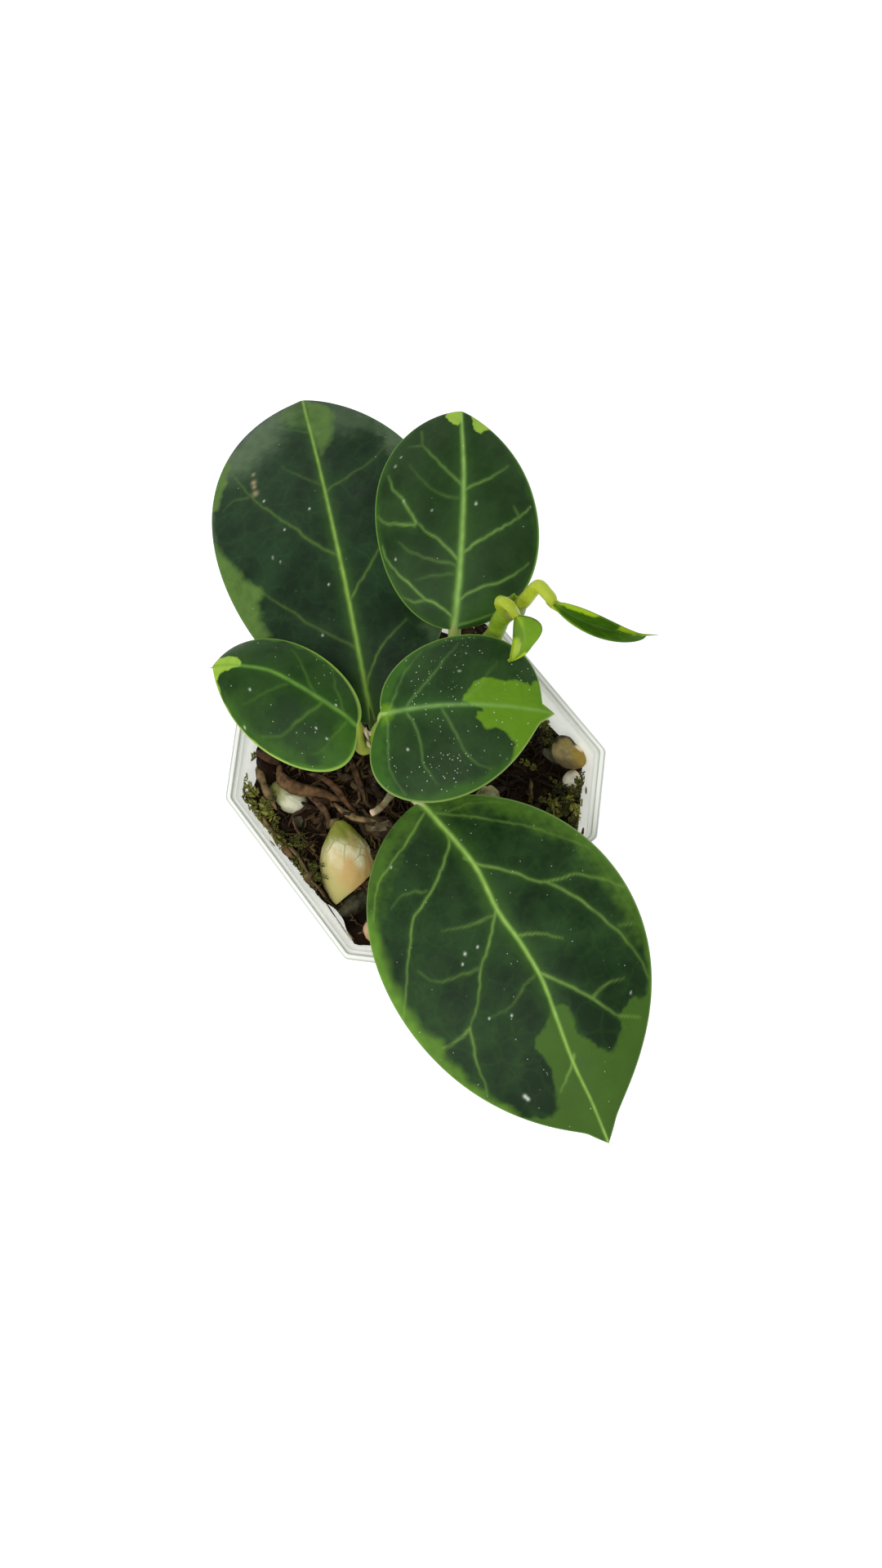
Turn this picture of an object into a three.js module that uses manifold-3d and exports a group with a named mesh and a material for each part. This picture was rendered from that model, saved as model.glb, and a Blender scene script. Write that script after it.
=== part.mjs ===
// A young variegated hoya vine in a clear octagonal nursery pot.
// Units are millimetres and +Z is up. The origin is the centre of the pot's flat underside.
// The pot's flat sides face X and Y. The plant leans and spreads as a real one does: five mature
// leaves on one short stem, two young leaves and a bud at its end, in moss with a few stones.
import * as THREE from "three";
import { LoftGeometry } from "three/addons/geometries/LoftGeometry.js";
import { mergeVertices } from "three/addons/utils/BufferGeometryUtils.js";
import Module from "manifold-3d";

const wasm = await Module();
wasm.setup();

// Pot
const RIM_ACROSS_FLATS = 70;
const BASE_ACROSS_FLATS = 50;
const POT_HEIGHT = 65;
const CHAMFER_SHARE = 13 / 35; // a chamfer's leg as a share of half the width across flats
const POT_WALL = 0.8;
const POT_FLOOR = 1.2;
const LIP_OUT = 1.0; // how far the rim's lip stands out of the wall
const LIP_HEIGHT = 1.6;
const LEDGE_DEPTH = 0.7; // the small step just inside the rim
const POT_CORNER_RADIUS = 1.6;
const LIP_ROUNDING = 0.3; // bevel on the lip's outer edges
const FOOT_ROUNDING = 0.5; // bevel where the wall meets the underside
const DRAIN_RADIUS = 2;
const DRAIN_OFFSET = 13; // from the pot's centre, along X and along Y

// Clearance left between touching pieces, and how much bigger a piece is made to cut its hole:
// lumps and flat facets take some of that growth back
const GAP = 0.3;
const HOLE_GROWTH = 0.42;

// Growing medium, whose top slopes down towards +X
const MEDIUM_LEVEL = 55; // height of its top over the pot's centre
const MEDIUM_SLOPE = -0.17;
const MEDIUM_BUMP = 0.66;
const STRAND_COUNT = 30;
const STRAND_RADIUS = 0.75;

// Vine
const STEM_RADIUS = 1.85;
const NODE_SWELLING = 0.55;
const PETIOLE_RADIUS = 1.35;
const PETIOLE_SLIM = 0.35; // share of a mature petiole's length from which it thins to a third
const BLADE_MIDDLE = 1.9; // leaf thickness beside the midrib
const BLADE_EDGE = 1.0;
const END_THICKNESS_SHARE = 0.75; // a blade at its base and tip, as a share of its thickness
const PETIOLE_SINK = 0.35; // how deep the petiole runs under the blade, as a share of its middle
const NODE_LENGTH_SHARE = 0.022; // half length of a swollen node, as a share of the stem
const RIM_Z = POT_HEIGHT;

// Points of the stem's axis, from its rooted end to its growing end. Heights are above the rim.
const STEM_POINTS = [
  [-4.1, 8.3, -20],
  [-3.4, 7.1, -8],
  [-2.3, 6.6, 3],
  [-1.6, 6.8, 11],
  [-0.3, 6.9, 15.4],
  [3.8, 6.8, 17],
  [8.3, 7.3, 16],
  [15, 8.1, 15],
  [21.2, 8.7, 16],
  [26.1, 7.5, 17.6],
  [30, 6.5, 21],
  [33.1, 6.3, 28],
  [36.6, 4.1, 35.4],
];
// Where leaves leave the stem, as shares of its length
const STEM_NODES = [0.29, 0.46, 0.72, 0.97];

// Mature leaves. Each blade starts at base (height above the rim), heads along heading (degrees
// from +X towards +Y), and rises at pitch. arch lifts its middle and sweep bows it sideways. Each
// side has its half width, and the powers of its outline towards the base and the tip. lobe draws
// that side's shoulder back past the base, keel lifts the halves and droop lets the margins down.
const MATURE_LEAVES = {
  leaf_back_left: {
    base: [0.5, 12.4, 6], heading: 65.4, pitch: -5.7, length: 80, arch: 6.5, sweep: 1.7,
    left: { width: 27.4, baseward: 0.68, tipward: 0.47, lobe: -1.3 },
    right: { width: 24.5, baseward: 0.76, tipward: 0.72, lobe: 4.1 },
    body: 1, tip: 0.6, keel: 1.2, droop: 4, roll: 0,
    petiole: [[-2.3, 6.6, 3], [-1, 9.4, 4.6]],
  },
  leaf_front: {
    base: [-2, -7, 6], heading: -99.1, pitch: 0.7, length: 77, arch: 6, sweep: -4.4,
    left: { width: 23.2, baseward: 0.94, tipward: 0.92, lobe: 10 },
    right: { width: 28.1, baseward: 0.64, tipward: 0.78, lobe: 2.5 },
    body: 0.96, tip: 3, keel: 1.5, droop: 4.5, roll: 0,
    petiole: [[-2.3, 6.6, 3], [-2.6, 0.5, 5]],
  },
  leaf_back_right: {
    base: [25.2, 13, 20], heading: 48.9, pitch: 6.6, length: 43.6, arch: 3.5, sweep: 1.6,
    left: { width: 17.8, baseward: 0.58, tipward: 0.51, lobe: 1.7 },
    right: { width: 14.8, baseward: 0.4, tipward: 0.73, lobe: -1.6 },
    body: 1, tip: 3, keel: 1, droop: 3.5, roll: 0,
    petiole: [[21.2, 8.7, 16], [23, 10.8, 17.8]],
  },
  leaf_left_small: {
    base: [-1.9, 10.3, 19], heading: 118.5, pitch: -3.3, length: 34.4, arch: 3, sweep: 3.4,
    left: { width: 15.5, baseward: 0.7, tipward: 0.91, lobe: 10 },
    right: { width: 8, baseward: 0.69, tipward: 0.36, lobe: 6.9 },
    body: 0.98, tip: 0.44, keel: 0.5, droop: 4, roll: 0,
    petiole: [[-1, 6.8, 13.4], [-3.9, 6.9, 15.3], [-3.4, 8.6, 17.3]],
  },
  leaf_centre: {
    base: [3.5, 7.5, 24], heading: -40.2, pitch: 3.4, length: 33.7, arch: 3, sweep: -1.1,
    left: { width: 14.4, baseward: 0.63, tipward: 0.43, lobe: 6.5 },
    right: { width: 18.3, baseward: 0.62, tipward: 0.81, lobe: 10 },
    body: 0.93, tip: 1.87, keel: 0.8, droop: 3, roll: 0,
    petiole: [[0.2, 6.9, 16], [2.2, 6.4, 20.3]],
  },
};
const MATURE_GRID = { rows: 14, columns: 8 };

// Young leaves, folded like a boat, on petioles that arch over. stalk is the petiole's radius at its
// foot and under the blade, and slim the share of its length from which it thins to a third.
const YOUNG_LEAVES = {
  young_leaf_hanging: {
    base: [34, 1.7, 39], heading: -149, pitch: -54, length: 11.1, arch: 1.2, sweep: -1.6,
    left: { width: 3.6, baseward: 0.35, tipward: 1.4, lobe: 0 },
    right: { width: 2.9, baseward: 0.61, tipward: 0.44, lobe: 0 },
    body: 0.83, tip: 3, keel: 1.5, droop: 0.2, roll: -45,
    petiole: [[34.5, 5.8, 31], [33.4, 5.9, 36.3], [33.5, 5.2, 40.2], [33.9, 3.2, 41.6]],
    stalk: [1.15, 1.05], slim: 0.78,
  },
  young_leaf_pointed: {
    base: [40, -1.2, 41.5], heading: -56.4, pitch: -5.9, length: 19.6, arch: 1.2, sweep: 1.6,
    left: { width: 2.3, baseward: 0.86, tipward: 1.33, lobe: 0 },
    right: { width: 1.6, baseward: 0.59, tipward: 0.4, lobe: 0 },
    body: 0.9, tip: 0.87, keel: 3.2, droop: 0.2, roll: 20,
    petiole: [[36.9, 3.9, 35.6], [37.7, 3.3, 38], [39.1, 2.9, 41], [40, 2.2, 42.8], [40.1, -0.6, 43]],
    stalk: [1.35, 1.1], slim: 0.66,
  },
};
const YOUNG_GRID = { rows: 10, columns: 6 };
const YOUNG_MIDDLE = 1.2;
const YOUNG_EDGE = 0.8;

// Stones: centre (height above the rim), half sizes, turn in degrees about Z and lean about X,
// how far the top is drawn to a point, how much of the lower half is left where its foot is broken
// flat, how much that break slants, and the seed of the lumps
const STONES = {
  teardrop_stone: {
    at: [-23.6, -4.9, -7.4], half: [6, 4.8, 8.4], turn: 150, lean: 68, point: 0.4, foot: 0.67, slant: 0.45,
    seed: 3,
  },
  dark_stone: { at: [-27.6, -12.4, -9.4], half: [4.4, 2.2, 2.4], turn: -6, lean: 12, seed: 5 },
  green_stone: { at: [-24.4, 15.2, -6.4], half: [4.7, 3, 2.6], turn: -72, lean: 8, point: 0.15, seed: 8 },
  grey_stone: { at: [-13.4, -2.6, -9], half: [3.7, 2.4, 2.2], turn: -40, lean: -6, seed: 13 },
  beige_stone: { at: [29.2, -15.8, -10.6], half: [2.9, 3.8, 5], turn: 0, seed: 21 },
  cream_stone: { at: [26.4, -20.4, -14.2], half: [2.1, 1.8, 2.4], turn: 0, lean: 10, seed: 34 },
  round_stone: { at: [9.6, -12.4, -11], half: [3.1, 2.7, 2.4], turn: 30, seed: 55 },
  tan_stone: { at: [-27, -20.4, -6.4], half: [2.8, 2.4, 2.2], turn: -45, seed: 89 },
};
const STONE_LUMP = 0.07;

// Cushions of live moss against the pot's wall: centre, half sizes and turn
const MOSS = {
  moss_left: { at: [-29.8, 7.6, -4.9], half: [3.2, 11, 3.1], turn: 0, seed: 4, shoots: 20 },
  moss_right: { at: [18.6, -23.8, -13.8], half: [8, 3.6, 2.8], turn: 24, seed: 9, shoots: 18 },
};
const SHOOT_LENGTH = 2.4;
const SHOOT_RADIUS = 0.7;

// The dry stub of an older shoot, cut off square
const STUB_POINTS = [[-3.4, 2.2, -13], [-5.6, 0.2, -3], [-7.6, -1.1, 0.4], [-9.4, -1.5, 0.5], [-11.8, -1.1, 0.2]];
const STUB_RADIUS = 0.85;

const BUD = { from: [35.6, 6.1, 33.6], to: [36.5, 5.6, 37.4], radius: 0.6 };

const COLOURS = {
  pot: ["#dfe4e4", 0.35],
  medium: ["#3d2a1c", 0.95],
  moss: ["#5c6a24", 0.9],
  stem: ["#7fa03f", 0.45],
  stub: ["#8a7a5c", 0.8],
  leaf: ["#274a2c", 0.42],
  young: ["#8fb436", 0.4],
  paleStone: ["#c9bf8a", 0.7],
  darkStone: ["#3a332a", 0.8],
  greenStone: ["#8f9a72", 0.7],
  greyStone: ["#86816f", 0.75],
  beigeStone: ["#a38a63", 0.75],
  creamStone: ["#d8c9a6", 0.7],
  tanStone: ["#c0926a", 0.7],
};

// Small helpers

const radians = (degrees) => (degrees * Math.PI) / 180;
const abovePot = ([x, y, z]) => new THREE.Vector3(x, y, z + RIM_Z);

// A repeatable random number source, from 0 to 1.
function seeded(seed) {
  let state = seed * 2654435761;
  return () => {
    state = (state + 0x6d2b79f5) | 0;
    let t = Math.imul(state ^ (state >>> 15), 1 | state);
    t = (t + Math.imul(t ^ (t >>> 7), 61 | t)) ^ t;
    return ((t ^ (t >>> 14)) >>> 0) / 4294967296;
  };
}

// A closed geometry as a manifold-3d solid, with shared vertices merged and collapsed faces left out.
function solid(geometry) {
  const bare = new THREE.BufferGeometry().setAttribute("position", geometry.getAttribute("position"));
  if (geometry.index) bare.setIndex(geometry.index);
  const merged = mergeVertices(bare, 1e-4);
  const faces = [];
  const index = merged.index.array;
  for (let i = 0; i < index.length; i += 3) {
    const [a, b, c] = [index[i], index[i + 1], index[i + 2]];
    if (a !== b && b !== c && a !== c) faces.push(a, b, c);
  }
  return new wasm.Manifold(
    new wasm.Mesh({
      numProp: 3,
      vertProperties: merged.attributes.position.array,
      triVerts: new Uint32Array(faces),
    }),
  );
}

// The biggest body of a solid: a cut can leave loose crumbs, which are dropped.
function largest(shape) {
  return shape.decompose().reduce((a, b) => (b.volume() > a.volume() ? b : a));
}

function geometryOf(shape) {
  const mesh = shape.getMesh();
  const geometry = new THREE.BufferGeometry();
  geometry.setAttribute("position", new THREE.BufferAttribute(mesh.vertProperties, mesh.numProp));
  geometry.setIndex(new THREE.BufferAttribute(mesh.triVerts, 1));
  return geometry;
}

const join = (shapes) => shapes.reduce((a, b) => a.add(b));

// Rings of points joined in turn, closed at both ends.
const loft = (rings) => solid(new LoftGeometry(rings, { capStart: true, capEnd: true }));

// The same points with both ends moved outwards, so that a grown piece is longer as well as thicker.
function lengthened(points, extra) {
  const longer = points.map((p) => p.clone());
  const [last, before] = [longer.length - 1, longer.length - 2];
  longer[0].addScaledVector(points[0].clone().sub(points[1]).normalize(), extra);
  longer[last].addScaledVector(points[last].clone().sub(points[before]).normalize(), extra);
  return longer;
}

// A tube along a smooth curve through points. radiusAt gives its radius at a share of its length.
function tube(points, radiusAt, sides, steps) {
  const curve = new THREE.CatmullRomCurve3(points, false, "centripetal");
  const frames = curve.computeFrenetFrames(steps, false);
  const rings = [];
  for (let k = 0; k <= steps; k++) {
    const centre = curve.getPointAt(k / steps);
    const radius = radiusAt(k / steps);
    const ring = [];
    for (let s = 0; s < sides; s++) {
      const angle = (2 * Math.PI * s) / sides;
      ring.push(
        centre
          .clone()
          .addScaledVector(frames.normals[k], radius * Math.cos(angle))
          .addScaledVector(frames.binormals[k], radius * Math.sin(angle)),
      );
    }
    rings.push(ring);
  }
  return loft(rings);
}

// Pot

// One octagon with small round corners, counterclockwise from above.
function octagonRing(half, z, cornerRadius) {
  const leg = half * CHAMFER_SHARE;
  const inner = half - leg;
  const corners = [
    [half, -inner], [half, inner], [inner, half], [-inner, half],
    [-half, inner], [-half, -inner], [-inner, -half], [inner, -half],
  ].map(([x, y]) => new THREE.Vector2(x, y));
  const setBack = cornerRadius * Math.tan(Math.PI / 8);
  const ring = [];
  corners.forEach((corner, i) => {
    const before = corners[(i + 7) % 8].clone().sub(corner).setLength(setBack);
    const after = corners[(i + 1) % 8].clone().sub(corner).setLength(setBack);
    const outermost = before.clone().add(after).multiplyScalar(0.25);
    for (const step of [before, outermost, after]) {
      ring.push(new THREE.Vector3(corner.x + step.x, corner.y + step.y, z));
    }
  });
  return ring;
}

const WALL_TOP = RIM_ACROSS_FLATS / 2 - LIP_OUT;
const BASE_HALF = BASE_ACROSS_FLATS / 2;

// Half the width across flats of the outside of the wall at a height.
const outerHalf = (z) => BASE_HALF + ((WALL_TOP - BASE_HALF) * z) / POT_HEIGHT;
const innerHalf = (z) => outerHalf(z) - POT_WALL;

function pot() {
  const lipBottom = POT_HEIGHT - LIP_HEIGHT;
  const lipHalf = RIM_ACROSS_FLATS / 2;
  const ledge = POT_HEIGHT - LEDGE_DEPTH;
  const round = POT_CORNER_RADIUS;
  const outside = [
    octagonRing(BASE_HALF - FOOT_ROUNDING, 0, round),
    octagonRing(outerHalf(FOOT_ROUNDING), FOOT_ROUNDING, round),
    octagonRing(outerHalf(lipBottom), lipBottom, round),
    octagonRing(lipHalf - LIP_ROUNDING / 2, lipBottom, round),
    octagonRing(lipHalf, lipBottom + LIP_ROUNDING, round),
    octagonRing(lipHalf, POT_HEIGHT - LIP_ROUNDING, round),
    octagonRing(lipHalf - LIP_ROUNDING, POT_HEIGHT, round),
  ];
  const hollow = [
    octagonRing(innerHalf(POT_FLOOR), POT_FLOOR, round),
    octagonRing(innerHalf(ledge), ledge - 0.2, round),
    octagonRing(WALL_TOP - 0.25, ledge, round),
    octagonRing(WALL_TOP - 0.1, POT_HEIGHT, round),
    octagonRing(WALL_TOP - 0.1, POT_HEIGHT + 1, round),
  ];
  let shape = loft(outside).subtract(loft(hollow));
  for (const x of [-DRAIN_OFFSET, DRAIN_OFFSET]) {
    for (const y of [-DRAIN_OFFSET, DRAIN_OFFSET]) {
      const drill = new THREE.CylinderGeometry(DRAIN_RADIUS, DRAIN_RADIUS, 4 * POT_FLOOR, 16);
      drill.rotateX(Math.PI / 2).translate(x, y, 0);
      shape = shape.subtract(solid(drill));
    }
  }
  return shape;
}

// Stem and leaves

function stem(extra) {
  const bulge = (t) =>
    STEM_NODES.reduce((sum, at) => sum + NODE_SWELLING * Math.exp(-(((t - at) / NODE_LENGTH_SHARE) ** 2)), 0);
  const ends = (t) => Math.min(1, 0.55 + 12 * t, 0.6 + 14 * (1 - t));
  const taper = (t) => 1.06 - 0.1 * t;
  const radiusAt = (t) => (STEM_RADIUS * taper(t) + bulge(t)) * ends(t) + extra;
  return tube(lengthened(STEM_POINTS.map(abovePot), extra), radiusAt, 9, 40);
}

// The share of the full half width at a share u of the blade's length: u to one power times
// (1 - u) to another, brought to a peak of 1, with a narrow pointed tip blended in.
function outline(side, leaf, u) {
  const { baseward: p, tipward: q } = side;
  const x = Math.min(u / leaf.body, 1);
  const peak = p / (p + q);
  const oval = (x ** p * (1 - x) ** q) / (peak ** p * (1 - peak) ** q);
  const tip = leaf.tip * u * u * (1 - u);
  return Math.cbrt(oval ** 3 + tip ** 3);
}

// The blade's own directions: forward along the midrib, to the right, and up out of its face.
function leafFrame(leaf) {
  const heading = radians(leaf.heading);
  const pitch = radians(leaf.pitch);
  const roll = radians(leaf.roll);
  const forward = new THREE.Vector3(
    Math.cos(heading) * Math.cos(pitch),
    Math.sin(heading) * Math.cos(pitch),
    Math.sin(pitch),
  );
  const level = new THREE.Vector3(Math.sin(heading), -Math.cos(heading), 0);
  const upright = level.clone().cross(forward);
  return {
    forward,
    right: level.clone().multiplyScalar(Math.cos(roll)).addScaledVector(upright, -Math.sin(roll)),
    up: upright.clone().multiplyScalar(Math.cos(roll)).addScaledVector(level, Math.sin(roll)),
  };
}

// A point of the blade's middle surface: u runs from base to tip, v from the left margin at -1
// over the midrib at 0 to the right margin at 1.
function bladePoint(leaf, frame, u, v) {
  const side = v < 0 ? leaf.left : leaf.right;
  const share = outline(side, leaf, u);
  const bow = 4 * u * (1 - u);
  const reach = leaf.length * u - side.lobe * v * v * share * (1 - u) ** 2;
  const sideways = leaf.sweep * bow + v * share * side.width;
  const lift = leaf.arch * bow + (leaf.keel * Math.abs(v) - leaf.droop * v * v) * share;
  return abovePot(leaf.base)
    .addScaledVector(frame.forward, reach)
    .addScaledVector(frame.right, sideways)
    .addScaledVector(frame.up, lift);
}

// The blade as a closed slab: an upper and a lower face with the same triangles, and a blunt margin.
// The faces lie apart along the blade's up direction, and further where a half stands steeply, so
// that the thickness square to the face stays the same.
function blade(leaf, grid, middle, edge) {
  const { rows, columns } = grid;
  const frame = leafFrame(leaf);
  const positions = [];
  const numberOf = (i, j) => (i === 0 ? 0 : i === rows ? 1 : 2 + (i - 1) * (columns + 1) + j);
  const perFace = 2 + (rows - 1) * (columns + 1);
  for (const face of [0.5, -0.5]) {
    const place = (u, v) => {
      const side = v < 0 ? leaf.left : leaf.right;
      const steepness = Math.hypot(1, leaf.keel / side.width);
      const thick = (middle + (edge - middle) * Math.abs(v)) * steepness;
      const thin = Math.min(1, END_THICKNESS_SHARE + 4 * Math.min(u, 1 - u));
      positions.push(...bladePoint(leaf, frame, u, v).addScaledVector(frame.up, face * thick * thin));
    };
    place(0, 0);
    place(1, 0);
    for (let i = 1; i < rows; i++) {
      const u = (1 - Math.cos((Math.PI * i) / rows)) / 2;
      for (let j = 0; j <= columns; j++) place(u, (2 * j) / columns - 1);
    }
  }
  const faces = [];
  for (let i = 0; i < rows; i++) {
    for (let j = 0; j < columns; j++) {
      const [a, b, c, d] = [numberOf(i, j), numberOf(i, j + 1), numberOf(i + 1, j + 1), numberOf(i + 1, j)];
      const [e, f, g, h] = [a, b, c, d].map((n) => n + perFace);
      faces.push(a, b, c, a, c, d, e, g, f, e, h, g);
    }
    const [leftHere, leftNext] = [numberOf(i, 0), numberOf(i + 1, 0)];
    const [rightHere, rightNext] = [numberOf(i, columns), numberOf(i + 1, columns)];
    faces.push(leftHere, leftNext, leftNext + perFace, leftHere, leftNext + perFace, leftHere + perFace);
    faces.push(rightHere, rightNext + perFace, rightNext, rightHere, rightHere + perFace, rightNext + perFace);
  }
  const geometry = new THREE.BufferGeometry();
  geometry.setAttribute("position", new THREE.Float32BufferAttribute(positions, 3));
  geometry.setIndex(faces);
  return solid(geometry);
}

// A leaf: its blade, joined to the petiole that comes from the stem and runs on under the blade.
// The stem, a gap thicker than it is, is cut out of the petiole's foot, so the foot fits it.
function leaf(shape, grid, middle, edge, stemAndGap) {
  const frame = leafFrame(shape);
  const under = (u) => bladePoint(shape, frame, u, 0).addScaledVector(frame.up, -PETIOLE_SINK * middle);
  const path = [...shape.petiole.map(abovePot), under(0.01), under(0.12), under(0.3)];
  const { stalk: [foot, end] = [PETIOLE_RADIUS, PETIOLE_RADIUS], slim = PETIOLE_SLIM } = shape;
  const radiusAt = (t) => {
    const past = Math.max(0, t - slim) / (1 - slim);
    return (foot + (end - foot) * Math.min(1, t / slim)) * (1 - 0.66 * past);
  };
  const petiole = tube(path, radiusAt, 6, 14);
  return largest(blade(shape, grid, middle, edge).add(petiole).subtract(stemAndGap));
}

// Growing medium, stones, moss and small pieces

// Height of the medium's top.
function mediumTop(x, y) {
  const bumps =
    Math.sin(0.42 * x + 1.1) * Math.cos(0.37 * y - 0.4) + 0.6 * Math.sin(0.9 * x - 0.7 * y + 2.3);
  return MEDIUM_LEVEL + MEDIUM_SLOPE * x + MEDIUM_BUMP * bumps;
}

// Distance from the axis to an octagon of the given half width, in the direction of an angle.
function octagonReach(half, angle) {
  const leg = half * CHAMFER_SHARE;
  const [c, s] = [Math.abs(Math.cos(angle)), Math.abs(Math.sin(angle))];
  return Math.min(half / Math.max(c, s), (2 * half - leg) / (c + s));
}

function mediumBlock() {
  const around = 40;
  const bottom = POT_FLOOR + GAP;
  const rings = [];
  const ring = (pointAt) => {
    rings.push(Array.from({ length: around }, (_, k) => pointAt((2 * Math.PI * k) / around)));
  };
  const wallPoint = (angle, z) => {
    const reach = octagonReach(innerHalf(z) - GAP, angle);
    return new THREE.Vector3(reach * Math.cos(angle), reach * Math.sin(angle), z);
  };
  ring((angle) => wallPoint(angle, bottom));
  const rimOfTop = (angle) => {
    const first = wallPoint(angle, MEDIUM_LEVEL);
    return wallPoint(angle, mediumTop(first.x, first.y) - 0.8);
  };
  ring(rimOfTop);
  for (const share of [0.94, 0.82, 0.68, 0.53, 0.38, 0.22, 0.08]) {
    ring((angle) => {
      const edge = rimOfTop(angle);
      const [x, y] = [edge.x * share, edge.y * share];
      return new THREE.Vector3(x, y, mediumTop(x, y));
    });
  }
  return loft(rings);
}

// Long strands of dead moss that arch out of the block and sink back into it.
function strands() {
  const random = seeded(71);
  const made = [];
  for (let n = 0; n < STRAND_COUNT; n++) {
    const angle = 2 * Math.PI * random();
    const far = 25 * Math.sqrt(random());
    const [x, y] = [far * Math.cos(angle), far * Math.sin(angle)];
    const turn = Math.PI * random();
    const reach = 4 + 4 * random();
    const curl = 3 * (random() - 0.5);
    const rise = 0.9 + 1.1 * random();
    const points = [-1, -0.5, 0, 0.5, 1].map((t) => {
      const px = x + reach * t * Math.cos(turn) - curl * (1 - t * t) * Math.sin(turn);
      const py = y + reach * t * Math.sin(turn) + curl * (1 - t * t) * Math.cos(turn);
      return new THREE.Vector3(px, py, mediumTop(px, py) + rise * (1 - t * t) - 1.4 * t * t);
    });
    made.push(tube(points, () => STRAND_RADIUS * (0.8 + 0.4 * random()), 4, 5));
  }
  return made;
}

// A lumpy stone: a sphere stretched to its half sizes, drawn to a point at its top and cut flat at
// its foot where it has them, with three low waves over its surface. The cut slants by slant of the
// sphere's x. grow makes the stone that much bigger.
function stone({ at, half, turn = 0, lean = 0, point = 0, foot = 1, slant = 0, seed }, grow) {
  const random = seeded(seed);
  const waves = [0, 1, 2].map(() => [1, 2, 3].map(() => 4 * (random() - 0.5)).concat(6 * random()));
  const geometry = new THREE.SphereGeometry(1, 12, 7);
  const position = geometry.getAttribute("position");
  for (let i = 0; i < position.count; i++) {
    const p = new THREE.Vector3().fromBufferAttribute(position, i);
    const lump = waves.reduce((sum, [a, b, c, d]) => sum + Math.sin(a * p.x + b * p.y + c * p.z + d), 0);
    const top = Math.max(p.z, 0);
    const narrow = 1 - point * 0.75 * top * top;
    p.multiplyScalar(1 + STONE_LUMP * lump);
    const cut = (-foot - slant * p.x) * half[2] - grow;
    position.setXYZ(
      i,
      p.x * (half[0] + grow) * narrow,
      p.y * (half[1] + grow) * narrow,
      Math.max(p.z * (1 + 0.5 * point * top * top) * (half[2] + grow), cut),
    );
  }
  geometry.rotateX(radians(lean)).rotateZ(radians(turn)).translate(...abovePot(at));
  return solid(geometry);
}

// A cushion of live moss: a low lump with short shoots standing out of it.
function mossCushion({ at, half, turn, seed, shoots }, grow) {
  const random = seeded(seed);
  const parts = [stone({ at, half, turn, seed }, grow)];
  for (let n = 0; n < shoots && grow === 0; n++) {
    const angle = 2 * Math.PI * random();
    const far = 0.65 * Math.sqrt(random());
    const local = new THREE.Vector3(half[0] * far * Math.cos(angle), half[1] * far * Math.sin(angle), 0);
    local.z = half[2] * Math.sqrt(1 - far * far);
    const lean = new THREE.Vector3(random() - 0.5, random() - 0.5, 1.1).setLength(SHOOT_LENGTH);
    const foot = local.clone().addScaledVector(lean, -0.5);
    const points = [foot, foot.clone().addScaledVector(lean, 0.8), foot.clone().addScaledVector(lean, 1.4)];
    const turned = points.map((p) =>
      p.applyAxisAngle(new THREE.Vector3(0, 0, 1), radians(turn)).add(abovePot(at)),
    );
    parts.push(tube(turned, (t) => SHOOT_RADIUS * (1 - 0.7 * t), 4, 2));
  }
  return join(parts);
}

function stub(extra) {
  const radiusAt = (t) => STUB_RADIUS * (1 - 0.12 * Math.sin(9 * t)) + extra;
  return tube(lengthened(STUB_POINTS.map(abovePot), extra), radiusAt, 8, 14);
}

function bud(stemAndGap) {
  const path = [abovePot(BUD.from), abovePot(BUD.to)];
  const radiusAt = (t) => BUD.radius * (1 - 0.75 * t ** 2.2);
  return largest(tube(path, radiusAt, 7, 5).subtract(stemAndGap));
}

// The inside of the pot less a gap, which trims what lies against the wall.
function inside() {
  const rings = [POT_FLOOR + GAP, POT_HEIGHT - LEDGE_DEPTH - GAP].map((z) =>
    octagonRing(innerHalf(z) - GAP, z, POT_CORNER_RADIUS),
  );
  return loft(rings);
}

// Assembly: every piece is one named mesh in one group

const plant = new THREE.Group();

function addPiece(name, shape, [color, roughness]) {
  const material = new THREE.MeshStandardMaterial({ color, roughness, metalness: 0 });
  if (name === "pot") Object.assign(material, { transparent: true, opacity: 0.55 });
  const mesh = new THREE.Mesh(geometryOf(shape), material);
  mesh.name = name;
  plant.add(mesh);
}

const STONE_COLOURS = {
  teardrop_stone: COLOURS.paleStone,
  dark_stone: COLOURS.darkStone,
  green_stone: COLOURS.greenStone,
  grey_stone: COLOURS.greyStone,
  beige_stone: COLOURS.beigeStone,
  cream_stone: COLOURS.creamStone,
  round_stone: COLOURS.greyStone,
  tan_stone: COLOURS.tanStone,
};

addPiece("pot", pot(), COLOURS.pot);

const stemShape = stem(0);
const stemAndGap = stem(HOLE_GROWTH);
addPiece("vine_stem", stemShape, COLOURS.stem);

// The medium first takes its strands, is trimmed to the pot's inside, and then loses a plain hole
// for each piece that stands in it.
const potInside = inside();
let medium = join([mediumBlock(), ...strands()]).intersect(potInside);
medium = medium.subtract(stemAndGap).subtract(stub(HOLE_GROWTH));

for (const [name, shape] of Object.entries(STONES)) {
  const made = stone(shape, 0).intersect(potInside);
  medium = medium.subtract(stone(shape, HOLE_GROWTH));
  addPiece(name, largest(made), STONE_COLOURS[name]);
}

const stonesAndGap = join(Object.values(STONES).map((shape) => stone(shape, HOLE_GROWTH)));
for (const [name, shape] of Object.entries(MOSS)) {
  const made = mossCushion(shape, 0).intersect(potInside).subtract(stonesAndGap);
  medium = medium.subtract(mossCushion(shape, HOLE_GROWTH));
  addPiece(name, largest(made), COLOURS.moss);
}

addPiece("old_stub", stub(0), COLOURS.stub);
addPiece("growing_medium", largest(medium), COLOURS.medium);

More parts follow.
